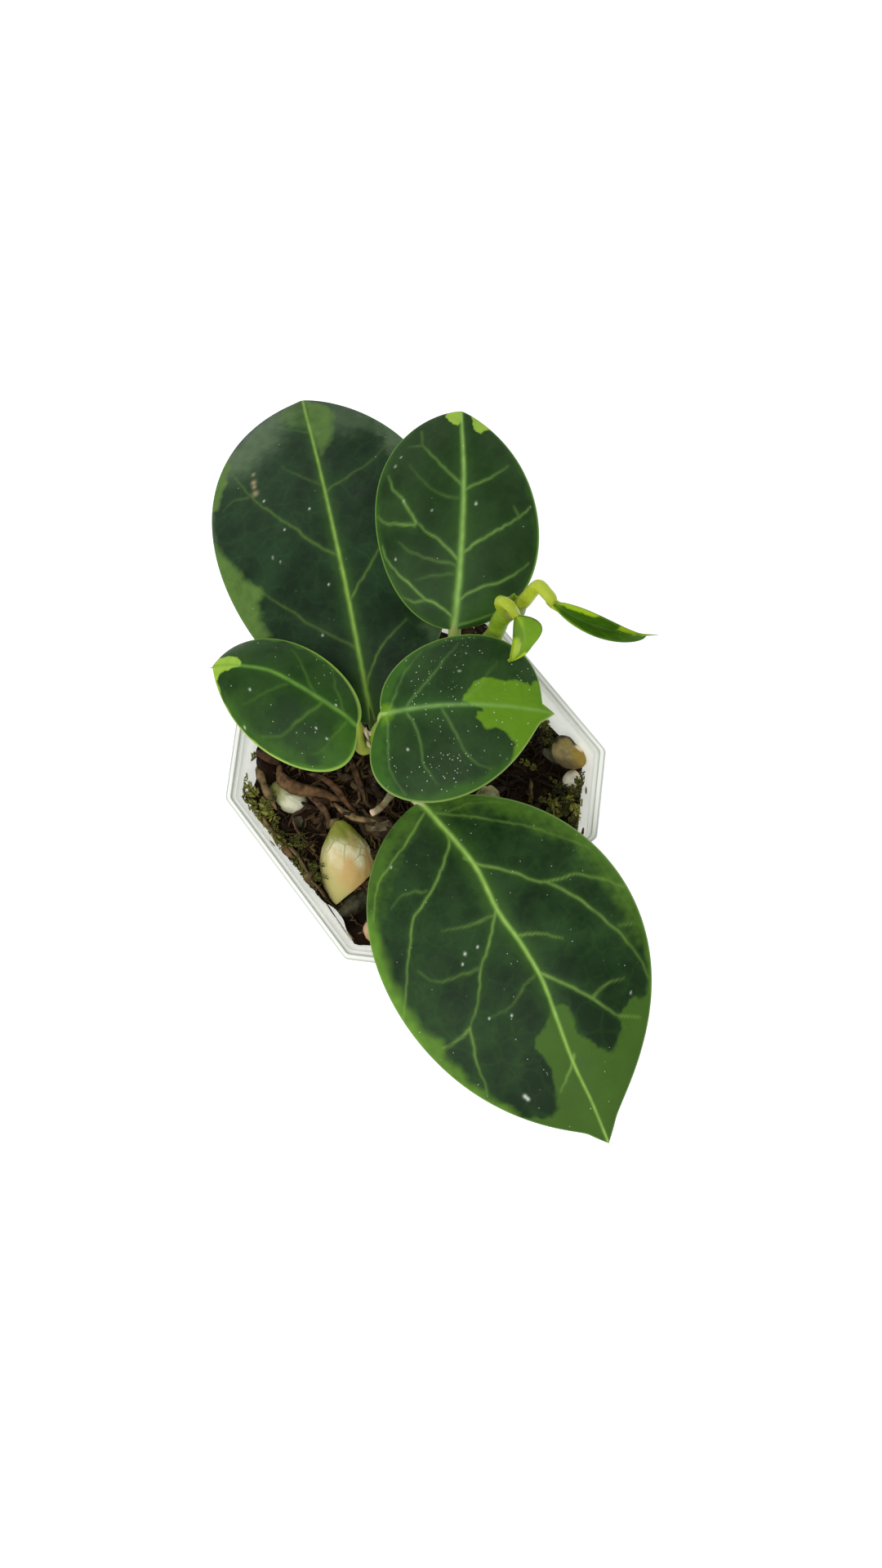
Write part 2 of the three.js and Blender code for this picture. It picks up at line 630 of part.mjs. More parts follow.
for (const [name, shape] of Object.entries(MATURE_LEAVES)) {
  const made = leaf(shape, MATURE_GRID, BLADE_MIDDLE, BLADE_EDGE, stemAndGap);
  addPiece(name, made, COLOURS.leaf);
}
for (const [name, shape] of Object.entries(YOUNG_LEAVES)) {
  const made = leaf(shape, YOUNG_GRID, YOUNG_MIDDLE, YOUNG_EDGE, stemAndGap);
  addPiece(name, made, COLOURS.young);
}
addPiece("shoot_bud", bud(stemAndGap), COLOURS.stem);

export default plant;
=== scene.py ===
# %% [markdown]
# # A young hoya in its pot
# The CAD model holds the plant's pieces at their real size and place. This script keeps that form
# and gives each piece its living surface: veins and variegation on the leaves, strands of moss, the
# milky wall of the pot. Everything is worked out in millimetres, in the CAD model's own frame, and
# turned to metres when a mesh is made.

import math

import bpy
import numpy as np
from mathutils import Euler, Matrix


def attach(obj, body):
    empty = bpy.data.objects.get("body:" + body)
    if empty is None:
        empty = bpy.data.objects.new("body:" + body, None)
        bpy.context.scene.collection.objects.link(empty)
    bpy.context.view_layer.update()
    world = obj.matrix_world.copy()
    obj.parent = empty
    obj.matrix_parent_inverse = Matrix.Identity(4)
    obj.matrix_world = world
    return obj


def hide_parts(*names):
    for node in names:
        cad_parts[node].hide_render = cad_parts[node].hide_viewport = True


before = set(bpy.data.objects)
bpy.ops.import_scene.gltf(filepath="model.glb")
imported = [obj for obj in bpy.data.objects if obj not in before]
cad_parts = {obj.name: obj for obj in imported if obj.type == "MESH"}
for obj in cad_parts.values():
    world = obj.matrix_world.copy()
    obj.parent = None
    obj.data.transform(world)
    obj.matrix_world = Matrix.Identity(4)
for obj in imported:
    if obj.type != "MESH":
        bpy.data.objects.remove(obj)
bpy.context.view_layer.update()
print("CAD nodes:", len(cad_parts))

# %% [markdown]
# The camera comes first, because everything is judged through it. The photograph looks down on the
# pot, a little from the front, with the phone turned. Its place was found by fitting the octagon
# of the rim. The colours are shown plainly, with no film look, so that they can be matched.

# %% Camera
MM = 0.001
POT_HEIGHT = 65.0
CAMERA_AT = (8.34, -56.56, POT_HEIGHT + 244.31)
CAMERA_TURNS = (8.574, 8.182, -38.124)
FOCAL_PIXELS = 1442.0
PICTURE_HEIGHT = 1920
SENSOR = 36.0

lens = bpy.data.cameras.new("camera")
lens.sensor_width = SENSOR
lens.lens = FOCAL_PIXELS * SENSOR / PICTURE_HEIGHT
lens.clip_start = 0.01
camera = bpy.data.objects.new("camera", lens)
camera.location = [MM * value for value in CAMERA_AT]
camera.rotation_euler = Euler([math.radians(turn) for turn in CAMERA_TURNS], "XYZ")
bpy.context.scene.collection.objects.link(camera)
bpy.context.scene.camera = camera
bpy.context.scene.view_settings.view_transform = "Standard"
print("lens", round(lens.lens, 2), "mm")

# %% [markdown]
# Three helpers are used by every finish. One turns a hex colour, which is how the eye sees it,
# into the linear numbers that light is worked out in. One adds a shader node with its settings and
# links. One begins a material with its main shader.

# %% Colours and shader nodes
def linear(hex_colour):
    """The linear red, green, blue and alpha of an sRGB hex colour."""
    digits = hex_colour.lstrip("#")
    channels = np.array([int(digits[i : i + 2], 16) for i in (0, 2, 4)]) / 255
    curved = ((channels + 0.055) / 1.055) ** 2.4
    return (*np.where(channels <= 0.04045, channels / 12.92, curved), 1.0)


def add(material, kind, inputs, **settings):
    """Add a node: settings are its own properties, inputs are values or sockets to link from."""
    node = material.node_tree.nodes.new(kind)
    for name, value in settings.items():
        setattr(node, name, value)
    for key, value in inputs.items():
        if isinstance(value, bpy.types.NodeSocket):
            material.node_tree.links.new(value, node.inputs[key])
        else:
            node.inputs[key].default_value = value
    return node


def begin(name, **uniform):
    """A material and its main shader, with the numbers that are the same all over it."""
    material = bpy.data.materials.new(name)
    material.use_nodes = True
    shader = material.node_tree.nodes["Principled BSDF"]
    for key, value in uniform.items():
        shader.inputs[key.replace("_", " ")].default_value = value
    return material, shader


def blend_colours(material, share, first, second):
    """The colour socket of a mix of two colours or sockets."""
    colours = [linear(c) if isinstance(c, str) else c for c in (first, second)]
    inputs = {0: share, 6: colours[0], 7: colours[1]}
    return add(material, "ShaderNodeMix", inputs, data_type="RGBA").outputs[2]


def link(material, source, shader, socket):
    material.node_tree.links.new(source, shader.inputs[socket])


def object_place(material):
    """The point being shaded, in metres in the plant's own frame."""
    return add(material, "ShaderNodeTexCoord", {}).outputs["Object"]


def attribute(material, key):
    """The number that a mesh carries for each of its points under this name."""
    return add(material, "ShaderNodeAttribute", {}, attribute_name=key).outputs["Fac"]


def noise(material, place, size, detail=2.0, output="Fac", **more):
    """Cloudy noise whose clouds are about size metres across."""
    inputs = {"Vector": place, "Scale": 1 / size, "Detail": detail, **more}
    return add(material, "ShaderNodeTexNoise", inputs).outputs[output]


def stretch(material, value, ends, new_ends=(0.0, 1.0)):
    """A value moved from one range to another, held at the new range's ends."""
    inputs = {"Value": value, "From Min": ends[0], "From Max": ends[1]}
    inputs.update({"To Min": new_ends[0], "To Max": new_ends[1]})
    return add(material, "ShaderNodeMapRange", inputs).outputs["Result"]


def combine(material, operation, *values):
    """One step of arithmetic on sockets or numbers."""
    return add(material, "ShaderNodeMath", dict(enumerate(values)), operation=operation).outputs[0]


def roughen(material, shader, height, strength, distance):
    """Fine relief in the shading, strength from 0 to 1 and distance metres high."""
    inputs = {"Strength": strength, "Distance": distance, "Height": height}
    link(material, add(material, "ShaderNodeBump", inputs).outputs["Normal"], shader, "Normal")


print("dark leaf green is", [round(float(c), 3) for c in linear("#24401f")])

# %% [markdown]
# Every new piece is a sheet of points worked out as one array, with its faces counted out in
# rows and columns. These helpers make the faces, put the arrays into a mesh, and carry one number
# for each point where a finish follows the surface, such as how close a point is to a vein.

# %% Meshes from arrays
def grid_faces(rows, columns, closed=False):
    """Four-sided faces of a grid of points numbered row by row; closed joins the last column."""
    around = columns if closed else columns - 1
    i, j = np.meshgrid(np.arange(rows - 1), np.arange(around), indexing="ij")
    after = (j + 1) % columns
    corners = [i * columns + j, i * columns + after, (i + 1) * columns + after, (i + 1) * columns + j]
    return np.stack(corners, axis=-1).reshape(-1, 4)


def fan(ring, centre):
    """Three-sided faces from a ring of point numbers to a centre point."""
    return np.stack([ring, np.roll(ring, -1), np.full(len(ring), centre)], axis=-1)


def closed_faces(rows, around):
    """Faces of rows rings of points, closed by fans to two points that are numbered after them."""
    last = rows * around
    first_ring = np.arange(around)
    rings = grid_faces(rows, around, closed=True)
    return [rings, fan(first_ring[::-1], last), fan(first_ring + last - around, last + 1)]


def piece(name, points, face_sets, material, nodes=(), numbers=None, smooth=True):
    """Make a mesh object of points in millimetres. It rides on the plant and stands for CAD nodes."""
    mesh = bpy.data.meshes.new(name)
    points = np.asarray(points, float).reshape(-1, 3)
    sizes = np.concatenate([np.full(len(f), f.shape[1]) for f in face_sets])
    corners = np.concatenate([np.asarray(f).ravel() for f in face_sets])
    mesh.vertices.add(len(points))
    mesh.vertices.foreach_set("co", (points * MM).ravel().astype(np.float32))
    mesh.loops.add(len(corners))
    mesh.loops.foreach_set("vertex_index", corners.astype(np.int32))
    mesh.polygons.add(len(sizes))
    starts = np.concatenate([[0], np.cumsum(sizes)[:-1]])
    mesh.polygons.foreach_set("loop_start", starts.astype(np.int32))
    mesh.polygons.foreach_set("use_smooth", np.full(len(sizes), smooth))
    mesh.update(calc_edges=True)
    for key, values in (numbers or {}).items():
        attribute = mesh.attributes.new(key, "FLOAT", "POINT")
        attribute.data.foreach_set("value", np.asarray(values, np.float32).ravel())
    mesh.materials.append(material)
    made = bpy.data.objects.new(name, mesh)
    bpy.context.scene.collection.objects.link(made)
    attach(made, "root")
    if nodes:
        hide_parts(*nodes)
    print(f"{name}: {len(points)} points, {int((sizes - 2).sum())} triangles")
    return made


def waves(points, size, seed, count=12):
    """Smooth noise of about -1 to 1: a sum of sine waves about size mm long, in seeded directions."""
    random = np.random.default_rng(seed)
    directions = random.normal(size=(count, 3))
    directions /= np.linalg.norm(directions, axis=1, keepdims=True)
    lengths = size * random.uniform(0.6, 1.7, count)
    phases = random.uniform(0, 2 * math.pi, count)
    turns = points @ (directions * (2 * math.pi / lengths[:, None])).T + phases
    return np.sin(turns).sum(axis=-1) / math.sqrt(count) * 0.8


def smoothstep(low, high, value):
    """0 below low, 1 above high, and a smooth rise between."""
    t = np.clip((value - low) / (high - low), 0, 1)
    return t * t * (3 - 2 * t)


print("noise over a millimetre:", waves(np.zeros((1, 3)), 5.0, 1))

# %% [markdown]
# A stem, a petiole or a strand is a round section carried along a smooth path. The path's points
# are joined by Catmull-Rom curves, and the section is turned with the path so that it never
# twists.

# %% Tubes along a path
def smooth_path(points, count):
    """count points evenly spread along centripetal Catmull-Rom curves through the given points."""
    points = np.asarray(points, float)
    ends = [2 * points[0] - points[1], 2 * points[-1] - points[-2]]
    p = np.vstack([ends[0], points, ends[1]])
    steps = np.sqrt(np.linalg.norm(np.diff(p, axis=0), axis=1))
    knots = np.concatenate([[0], np.cumsum(steps)])
    t = np.linspace(knots[1], knots[-2], 24 * len(points))
    k = np.clip(np.searchsorted(knots, t, side="right") - 1, 1, len(p) - 3)

    def between(a, b, ta, tb):
        share = ((t - ta) / (tb - ta))[:, None]
        return a * (1 - share) + b * share

    t0, t1, t2, t3 = (knots[k + n] for n in (-1, 0, 1, 2))
    p0, p1, p2, p3 = (p[k + n] for n in (-1, 0, 1, 2))
    a1, a2, a3 = between(p0, p1, t0, t1), between(p1, p2, t1, t2), between(p2, p3, t2, t3)
    b1, b2 = between(a1, a2, t0, t2), between(a2, a3, t1, t3)
    fine = between(b1, b2, t1, t2)
    reach = np.concatenate([[0], np.cumsum(np.linalg.norm(np.diff(fine, axis=0), axis=1))])
    wanted = np.linspace(0, reach[-1], count)
    return np.stack([np.interp(wanted, reach, fine[:, axis]) for axis in range(3)], axis=1)


def section_axes(path):
    """Two directions across a path at each point: one kept as level as the path allows."""
    along = np.gradient(path, axis=-2)
    along /= np.linalg.norm(along, axis=-1, keepdims=True)
    mean = path[..., -1, :] - path[..., 0, :]
    least = np.eye(3)[np.argmin(np.abs(mean), axis=-1)]
    across = np.cross(along, np.broadcast_to(least[..., None, :], along.shape))
    across /= np.linalg.norm(across, axis=-1, keepdims=True)
    return across, np.cross(along, across)


def tube(path, radius, sides):
    """Points and faces of a round tube along a path, closed by a rounded point at each end."""
    across, other = section_axes(path)
    angle = np.linspace(0, 2 * math.pi, sides, endpoint=False)[None, :, None]
    radius = np.broadcast_to(radius, len(path))[:, None, None]
    ring = path[:, None] + radius * (across[:, None] * np.cos(angle) + other[:, None] * np.sin(angle))
    points = np.vstack([ring.reshape(-1, 3), path[:1], path[-1:]])
    return points, closed_faces(len(path), sides)


def swollen(points, path, sides, share):
    """A tube's points moved away from its path: each radius grows by its share."""
    centre = np.vstack([np.repeat(path, sides, axis=0), path[:1], path[-1:]])
    return centre + (points - centre) * (1 + share)[:, None]


print("path check:", smooth_path([(0, 0, 0), (10, 0, 0), (20, 5, 0)], 3).round(1).tolist())

# %% [markdown]
# The pot is an octagon with small round corners, the same at every height but for its size. One
# profile says how wide it is as it goes up the outside, over the lip and down the inside. Carrying
# the octagon along that profile gives the whole wall as one grid, so that the lip stays crisp and
# the walls stay flat. A boolean cut makes the four drainage holes.

# %% Shape of the pot
RIM_HALF = 35.0
BASE_HALF = 25.0
CHAMFER_SHARE = 13 / 35
WALL = 0.8
FLOOR = 1.2
LIP_OUT = 1.0
LIP_HEIGHT = 1.6
LEDGE_DEPTH = 0.7
CORNER_RADIUS = 1.6
DRAIN_RADIUS = 2.0
DRAIN_OFFSET = 13.0
WALL_TOP = RIM_HALF - LIP_OUT


def outer_half(z):
    """Half the pot's width across flats at a height: it grows evenly from base to rim."""
    return BASE_HALF + (WALL_TOP - BASE_HALF) * z / POT_HEIGHT


def inner_half(z):
    return outer_half(z) - WALL


def octagon_reach(half, angle):
    """Distance from the axis to an octagon's side in a direction: the nearer of flat and chamfer."""
    c, s = np.abs(np.cos(angle)), np.abs(np.sin(angle))
    return np.minimum(half / np.maximum(c, s), (2 - CHAMFER_SHARE) * half / (c + s))


def keep_inside(points, clear):
    """Points pulled towards the axis where they would come closer than clear to the pot's wall."""
    angle = np.arctan2(points[..., 1], points[..., 0])
    reach = octagon_reach(inner_half(points[..., 2]) - clear, angle)
    far = np.hypot(points[..., 0], points[..., 1])
    share = np.minimum(1, reach / np.maximum(far, 1e-6))
    return points * np.stack([share, share, np.ones_like(share)], axis=-1)


def octagon_rings(half, z, radius, arc_steps=6):
    """Rings of an octagon with round corners. A corner's arc centre lies a radius inside both of
    its sides, and the arc runs between the two sides' outward directions."""
    side = np.arange(8) * math.pi / 4
    distance = np.where(np.arange(8) % 2 == 0, 1.0, (2 - CHAMFER_SHARE) / math.sqrt(2))
    a = half[:, None] * distance - radius
    b = np.roll(a, -1, axis=1)
    nxt = side + math.pi / 4
    sine = math.sin(math.pi / 4)
    cx = (a * np.sin(nxt) - b * np.sin(side)) / sine
    cy = (b * np.cos(side) - a * np.cos(nxt)) / sine
    turn = side[:, None] + np.linspace(0, math.pi / 4, arc_steps)
    x = cx[:, :, None] + radius * np.cos(turn)
    y = cy[:, :, None] + radius * np.sin(turn)
    high = np.broadcast_to(z[:, None, None], x.shape)
    return np.stack([x, y, high], axis=-1).reshape(len(half), -1, 3)


def rounded(start, end, shade, solid, upright_first=False, steps=4):
    """A convex quarter round from start to end, as rows of the profile: the width goes by the sine
    of the turn and the height by 1 less its cosine, or the other way about."""
    t = np.linspace(0, math.pi / 2, steps)
    first, second = np.sin(t), 1 - np.cos(t)
    if upright_first:
        first, second = second, first
    wide = start[0] + (end[0] - start[0]) * first
    high = start[1] + (end[1] - start[1]) * second
    return np.stack([wide, high, np.full(steps, shade), np.full(steps, solid)], axis=1)


LIP_BOTTOM = POT_HEIGHT - LIP_HEIGHT
LEDGE = POT_HEIGHT - LEDGE_DEPTH
# Each row: half width, height, how much painted grey shade it carries there, and how little
# shows through it
profile = np.vstack(
    [
        [[BASE_HALF - 4.5, 0.0, 0.0, 0.2]],
        rounded((BASE_HALF - 0.5, 0.0), (outer_half(0.5), 0.5), 0.3, 0.2),
        [
            [outer_half(LIP_BOTTOM - 2), LIP_BOTTOM - 2, 0.0, 0.0],
            [outer_half(LIP_BOTTOM), LIP_BOTTOM, 0.1, 0.8]
        ],
        rounded((RIM_HALF - 0.25, LIP_BOTTOM), (RIM_HALF, LIP_BOTTOM + 0.3), 0.1, 1.0),
        rounded(
            (RIM_HALF, POT_HEIGHT - 0.3), (RIM_HALF - 0.3, POT_HEIGHT), 0.9, 1.0, upright_first=True
        ),
        [[RIM_HALF - 0.4, POT_HEIGHT, 0.0, 1.0], [WALL_TOP + 0.15, POT_HEIGHT, 0.0, 1.0]],
        [[WALL_TOP - 0.02, POT_HEIGHT, 1.0, 1.0], [WALL_TOP - 0.12, POT_HEIGHT - 0.08, 1.0, 1.0]],
        [[WALL_TOP - 0.2, LEDGE, 0.6, 0.6], [inner_half(LEDGE) + 0.1, LEDGE, 0.6, 0.5]],
        [[inner_half(LEDGE), LEDGE - 0.15, 0.6, 0.5], [inner_half(LEDGE - 3), LEDGE - 3, 0.15, 0.0]],
        [
            [inner_half(LEDGE - 8), LEDGE - 8, 0.0, 0.0],
            [inner_half(FLOOR + 0.6), FLOOR + 0.6, 0.0, 0.0]
        ],
        [[inner_half(FLOOR) - 0.5, FLOOR, 0.0, 0.2], [8.0, FLOOR, 0.0, 0.2]],
    ]
)
rings = octagon_rings(profile[:, 0], profile[:, 1], CORNER_RADIUS)
around = rings.shape[1]
pot_points = np.vstack([rings.reshape(-1, 3), [[0, 0, 0], [0, 0, FLOOR]]])
pot_shade, pot_solid = (np.concatenate([np.repeat(profile[:, k], around), [0, 0]]) for k in (2, 3))
pot_faces = closed_faces(len(profile), around)
print("pot profile points:", len(profile), "round the pot:", around)

# %% [markdown]
# The pot is polypropylene, injection moulded. It is clear but milky: the wall lets the medium show
# through as a soft shade, scatters light to a warm white, and has a satin shine with the slight
# ripple that a thin moulded wall always has. Alpha gives the see-through share.
# A little glow stands for the light of the white table, which such a wall gathers from below.
# An edge of clear plastic gathers little light, and this is painted in as shade: the lip shows as a
# white band between two thin grey lines, and a grey band runs along the ledge and down the wall just
# under it, all following the profile through the attribute "shade". The lip is thicker and hides
# what lies under it, through the attribute "solid".

# %% Finish and mesh of the pot
polypropylene, shader = begin(
    "milky_polypropylene_moulded", Roughness=0.3, IOR=1.49, Base_Color=linear("#eceee6")
)
place = object_place(polypropylene)
ripple = noise(polypropylene, place, 0.009)
milk = noise(polypropylene, place, 0.02, 4.0)
edge_shade = attribute(polypropylene, "shade")
tint = blend_colours(polypropylene, milk, "#ecece0", "#fcfcf5")
# The grey is painted shade on the lip's two edge lines and along the ledge and the wall under it
tint = blend_colours(polypropylene, edge_shade, tint, "#bcbfb6")
link(polypropylene, tint, shader, "Base Color")
solid = attribute(polypropylene, "solid")
hides = stretch(polypropylene, solid, (0.0, 1.0), (0.52, 0.97))
link(polypropylene, hides, shader, "Alpha")
shader.inputs["Emission Color"].default_value = linear("#f6f8ee")
lit = stretch(polypropylene, solid, (0.0, 1.0), (0.25, 0.03))
link(polypropylene, lit, shader, "Emission Strength")
roughen(polypropylene, shader, ripple, 0.12, 0.0004)

pot_numbers = {"shade": pot_shade, "solid": pot_solid}
pot = piece(
    "pot_shell", pot_points, pot_faces, polypropylene, ["pot"], pot_numbers, False
)
for x in (-DRAIN_OFFSET, DRAIN_OFFSET):
    for y in (-DRAIN_OFFSET, DRAIN_OFFSET):
        bpy.ops.mesh.primitive_cylinder_add(
            vertices=32, radius=DRAIN_RADIUS * MM, depth=4 * FLOOR * MM, location=(x * MM, y * MM, 0)
        )
        drill = bpy.context.object
        cut = pot.modifiers.new("drain", "BOOLEAN")
        cut.operation, cut.object, cut.solver = "DIFFERENCE", drill, "EXACT"
        bpy.context.view_layer.objects.active = pot
        bpy.ops.object.modifier_apply(modifier=cut.name)
        bpy.data.objects.remove(drill)
bend = pot.modifiers.new("crease", "EDGE_SPLIT")
bend.split_angle = math.radians(30)
pot.data.polygons.foreach_set("use_smooth", np.full(len(pot.data.polygons), True))
print("pot faces after drilling:", len(pot.data.polygons))

# %% [markdown]
# The medium is damp peat and dead sphagnum, packed into the pot and sloping down to the right. One
# polar grid makes its top, trimmed to the pot's octagon, and the same rings go down the wall.
# Waves of two sizes make clods and crumbs. The stones lie in it, so it dips round each of them.

# %% Growing medium
MEDIUM_LEVEL = 55.0
MEDIUM_SLOPE = -0.17
MEDIUM_BUMP = 0.66
GAP = 0.3
STONES = {
    "teardrop_stone": dict(
        at=(-23.6, -4.9, -7.4), half=(6, 4.8, 8.4), turn=150, lean=68, point=0.4, foot=0.67, slant=0.45
    ),
    "dark_stone": dict(at=(-27.6, -12.4, -9.4), half=(4.4, 2.2, 2.4), turn=-6, lean=12),
    "green_stone": dict(at=(-24.4, 15.2, -6.4), half=(4.7, 3, 2.6), turn=-72, lean=8, point=0.15),
    "grey_stone": dict(at=(-13.4, -2.6, -9), half=(3.7, 2.4, 2.2), turn=-40, lean=-6),
    "beige_stone": dict(at=(29.2, -15.8, -10.6), half=(2.9, 3.8, 5)),
    "cream_stone": dict(at=(26.4, -20.4, -14.2), half=(2.1, 1.8, 2.4), lean=10),
    "round_stone": dict(at=(9.6, -12.4, -11), half=(3.1, 2.7, 2.4), turn=30),
    "tan_stone": dict(at=(-27, -20.4, -6.4), half=(2.8, 2.4, 2.2), turn=-45),
}


def medium_top(x, y):
    """Height of the medium: a slope towards +X with two sine bumps."""
    bumps = np.sin(0.42 * x + 1.1) * np.cos(0.37 * y - 0.4) + 0.6 * np.sin(0.9 * x - 0.7 * y + 2.3)
    return MEDIUM_LEVEL + MEDIUM_SLOPE * x + MEDIUM_BUMP * bumps


def bed(x, y):
    """Height of the bed: the medium's top, clods about 5 mm and crumbs about 1.6 mm across, a climb
    of up to 1.5 mm at the wall, and a dip to the middle of each stone over the 2 mm round it."""
    flat = np.stack([x, y, 0 * x], axis=-1)
    height = medium_top(x, y) + 0.6 * waves(flat, 5.0, 21) + 0.35 * waves(flat, 1.6, 22, 24) - 0.5
    reach = octagon_reach(inner_half(MEDIUM_LEVEL), np.arctan2(y, x))
    height = height + 1.5 * smoothstep(0.8, 1.0, np.hypot(x, y) / reach) * waves(flat, 6.0, 23)
    for stone in STONES.values():
        stone_x, stone_y, stone_z = stone["at"]
        radius = max(stone["half"][:2])
        near = smoothstep(radius + 2.0, radius, np.hypot(x - stone_x, y - stone_y))
        height = height - near * np.maximum(0, height - POT_HEIGHT - stone_z - 0.2)
    return height


AROUND, ACROSS = 260, 90
WALL_ROWS = 14
angle = np.linspace(0, 2 * math.pi, AROUND, endpoint=False)
edge_reach = octagon_reach(inner_half(medium_top(31 * np.cos(angle), 31 * np.sin(angle))) - GAP, angle)
share = np.linspace(1, 0.01, ACROSS)[:, None]
x, y = share * edge_reach * np.cos(angle), share * edge_reach * np.sin(angle)
top = np.stack([x, y, bed(x, y)], axis=-1)
climb = np.linspace(0, 0.98, WALL_ROWS)[:, None]
z = (FLOOR + GAP) * (1 - climb) + top[0, :, 2] * climb
wall_reach = octagon_reach(inner_half(z) - GAP, angle)
wall_reach = wall_reach - 0.25 * np.abs(
    waves(np.stack([angle * 30 + 0 * z, z, 0 * z], axis=-1), 4.0, 31)
)
wall = np.stack([wall_reach * np.cos(angle), wall_reach * np.sin(angle), z], axis=-1)
sheets = keep_inside(np.concatenate([wall, top]), GAP)
medium_points = np.vstack(
    [sheets.reshape(-1, 3), [[0, 0, FLOOR + GAP]], top[-1].mean(axis=0, keepdims=True)]
)
medium_faces = closed_faces(len(sheets), AROUND)

peat, shader = begin("damp_peat_and_dead_sphagnum", Roughness=0.9, Specular_IOR_Level=0.15)
place = object_place(peat)
clods = noise(peat, place, 0.006, 6.0)
fibres = noise(peat, place, 0.0012, 3.0)
wet = blend_colours(peat, clods, "#0a0603", "#38220f")
tone = blend_colours(peat, fibres, wet, "#1a1008")
link(peat, tone, shader, "Base Color")
roughen(peat, shader, fibres, 0.8, 0.0006)
piece("medium_bed", medium_points, medium_faces, peat, ["growing_medium"])

# %% [markdown]
# Dead sphagnum lies over the bed as curled strands, tan and red-brown on the left and darker
# towards the right, nearly black there. Among them lie broader flat fibres, and a few of those are
# led where the photograph shows them, one of them over the green stone. All strands are worked out
# at once: an array of strands by points, given a round or flattened section. Each has only a few
# dozen faces.

# %% Strands of dead moss
STRANDS = 620
STRAND_POINTS = 8
STRAND_SIDES = 4
FIBRES = 170
FIBRE_POINTS = 12
FIBRE_SIDES = 6


def many_tubes(paths, radius, sides=STRAND_SIDES, flat=1.0, roll=0.0):
    """Points and faces of many tubes at once: paths is strands by points by 3. The section is an
    ellipse, flat times as thick as wide, rolled about the path by roll."""
    count, steps, _ = paths.shape
    level, other = section_axes(paths)
    roll = np.broadcast_to(roll, (count, steps))[..., None]
    across = level * np.cos(roll) + other * np.sin(roll)
    thick = flat * (other * np.cos(roll) - level * np.sin(roll))
    turn = np.linspace(0, 2 * math.pi, sides, endpoint=False)[None, None, :, None]
    ring = across[:, :, None] * np.cos(turn) + thick[:, :, None] * np.sin(turn)
    ring = paths[:, :, None] + radius[..., None, None] * ring
    one = grid_faces(steps, sides, closed=True)
    block = steps * sides
    ends = np.array([np.arange(sides)[::-1], np.arange(sides) + block - sides])
    shift = (np.arange(count) * block)[:, None, None]
    return ring.reshape(-1, 3), [
        (part[None] + shift).reshape(-1, part.shape[1]) for part in (one, ends)
    ], block


def lay_strands(random, count, steps, reach, curl, lift):
    """Strands curled as parabolas and laid on the bed, with their ends a little sunk in it."""
    t = np.linspace(-1, 1, steps)
    angle = random.uniform(0, 2 * math.pi, count)
    far = 32 * np.sqrt(random.uniform(0, 1, count))
    turn = random.uniform(0, math.pi, count)[:, None]
    half_length = random.uniform(*reach, count)[:, None]
    bow = random.uniform(-curl, curl, count)[:, None] * (1 - t * t)
    rise = random.uniform(*lift, count)[:, None]
    wiggle = random.uniform(-0.5, 0.5, (count, steps))
    c, s = np.cos(turn), np.sin(turn)
    x = (far * np.cos(angle))[:, None] + half_length * t * c - bow * s + wiggle
    y = (far * np.sin(angle))[:, None] + half_length * t * s + bow * c + wiggle[:, ::-1]
    z = bed(x, y) + rise * (1 - t * t) - 0.5 * t * t
    return np.stack([x, y, z], axis=-1), t


random = np.random.default_rng(5)
strands, t = lay_strands(random, STRANDS, STRAND_POINTS, (1.8, 5.6), 2.6, (0.2, 1.7))
strands = keep_inside(strands, 0.7)
thick = random.uniform(0.16, 0.42, STRANDS)[:, None] * (1 - 0.75 * np.abs(t) ** 3)
strand_points, strand_faces, block = many_tubes(strands, thick)
right_darkening = smoothstep(-26, 8, strands[:, 0, 0])
shade = np.clip(random.uniform(0, 1, STRANDS) * (1 - 0.85 * right_darkening), 0, 1)
hue = random.uniform(0, 1, STRANDS)


def dead_moss(name, dark, red, tan):
    """Dead sphagnum: dark where the attribute shade is 0, and red-brown to tan by the attribute hue."""
    material, shader = begin(name, Roughness=0.75, Specular_IOR_Level=0.2)
    shade_share = attribute(material, "shade")
    hue_share = attribute(material, "hue")
    place = object_place(material)
    flecks = noise(material, place, 0.0016, 5.0)
    light = blend_colours(material, hue_share, red, tan)
    tone = blend_colours(material, shade_share, dark, light)
    streaks = stretch(material, flecks, (0.35, 0.75))
    tone = blend_colours(material, streaks, tone, dark)
    link(material, tone, shader, "Base Color")
    roughen(material, shader, flecks, 0.4, 0.0004)
    return material


sphagnum = dead_moss("dead_sphagnum_strand", "#1c1209", "#5f3a20", "#8a7844")
numbers = {"shade": np.repeat(shade, block), "hue": np.repeat(hue, block)}
piece("moss_strands", strand_points, strand_faces, sphagnum, numbers=numbers)

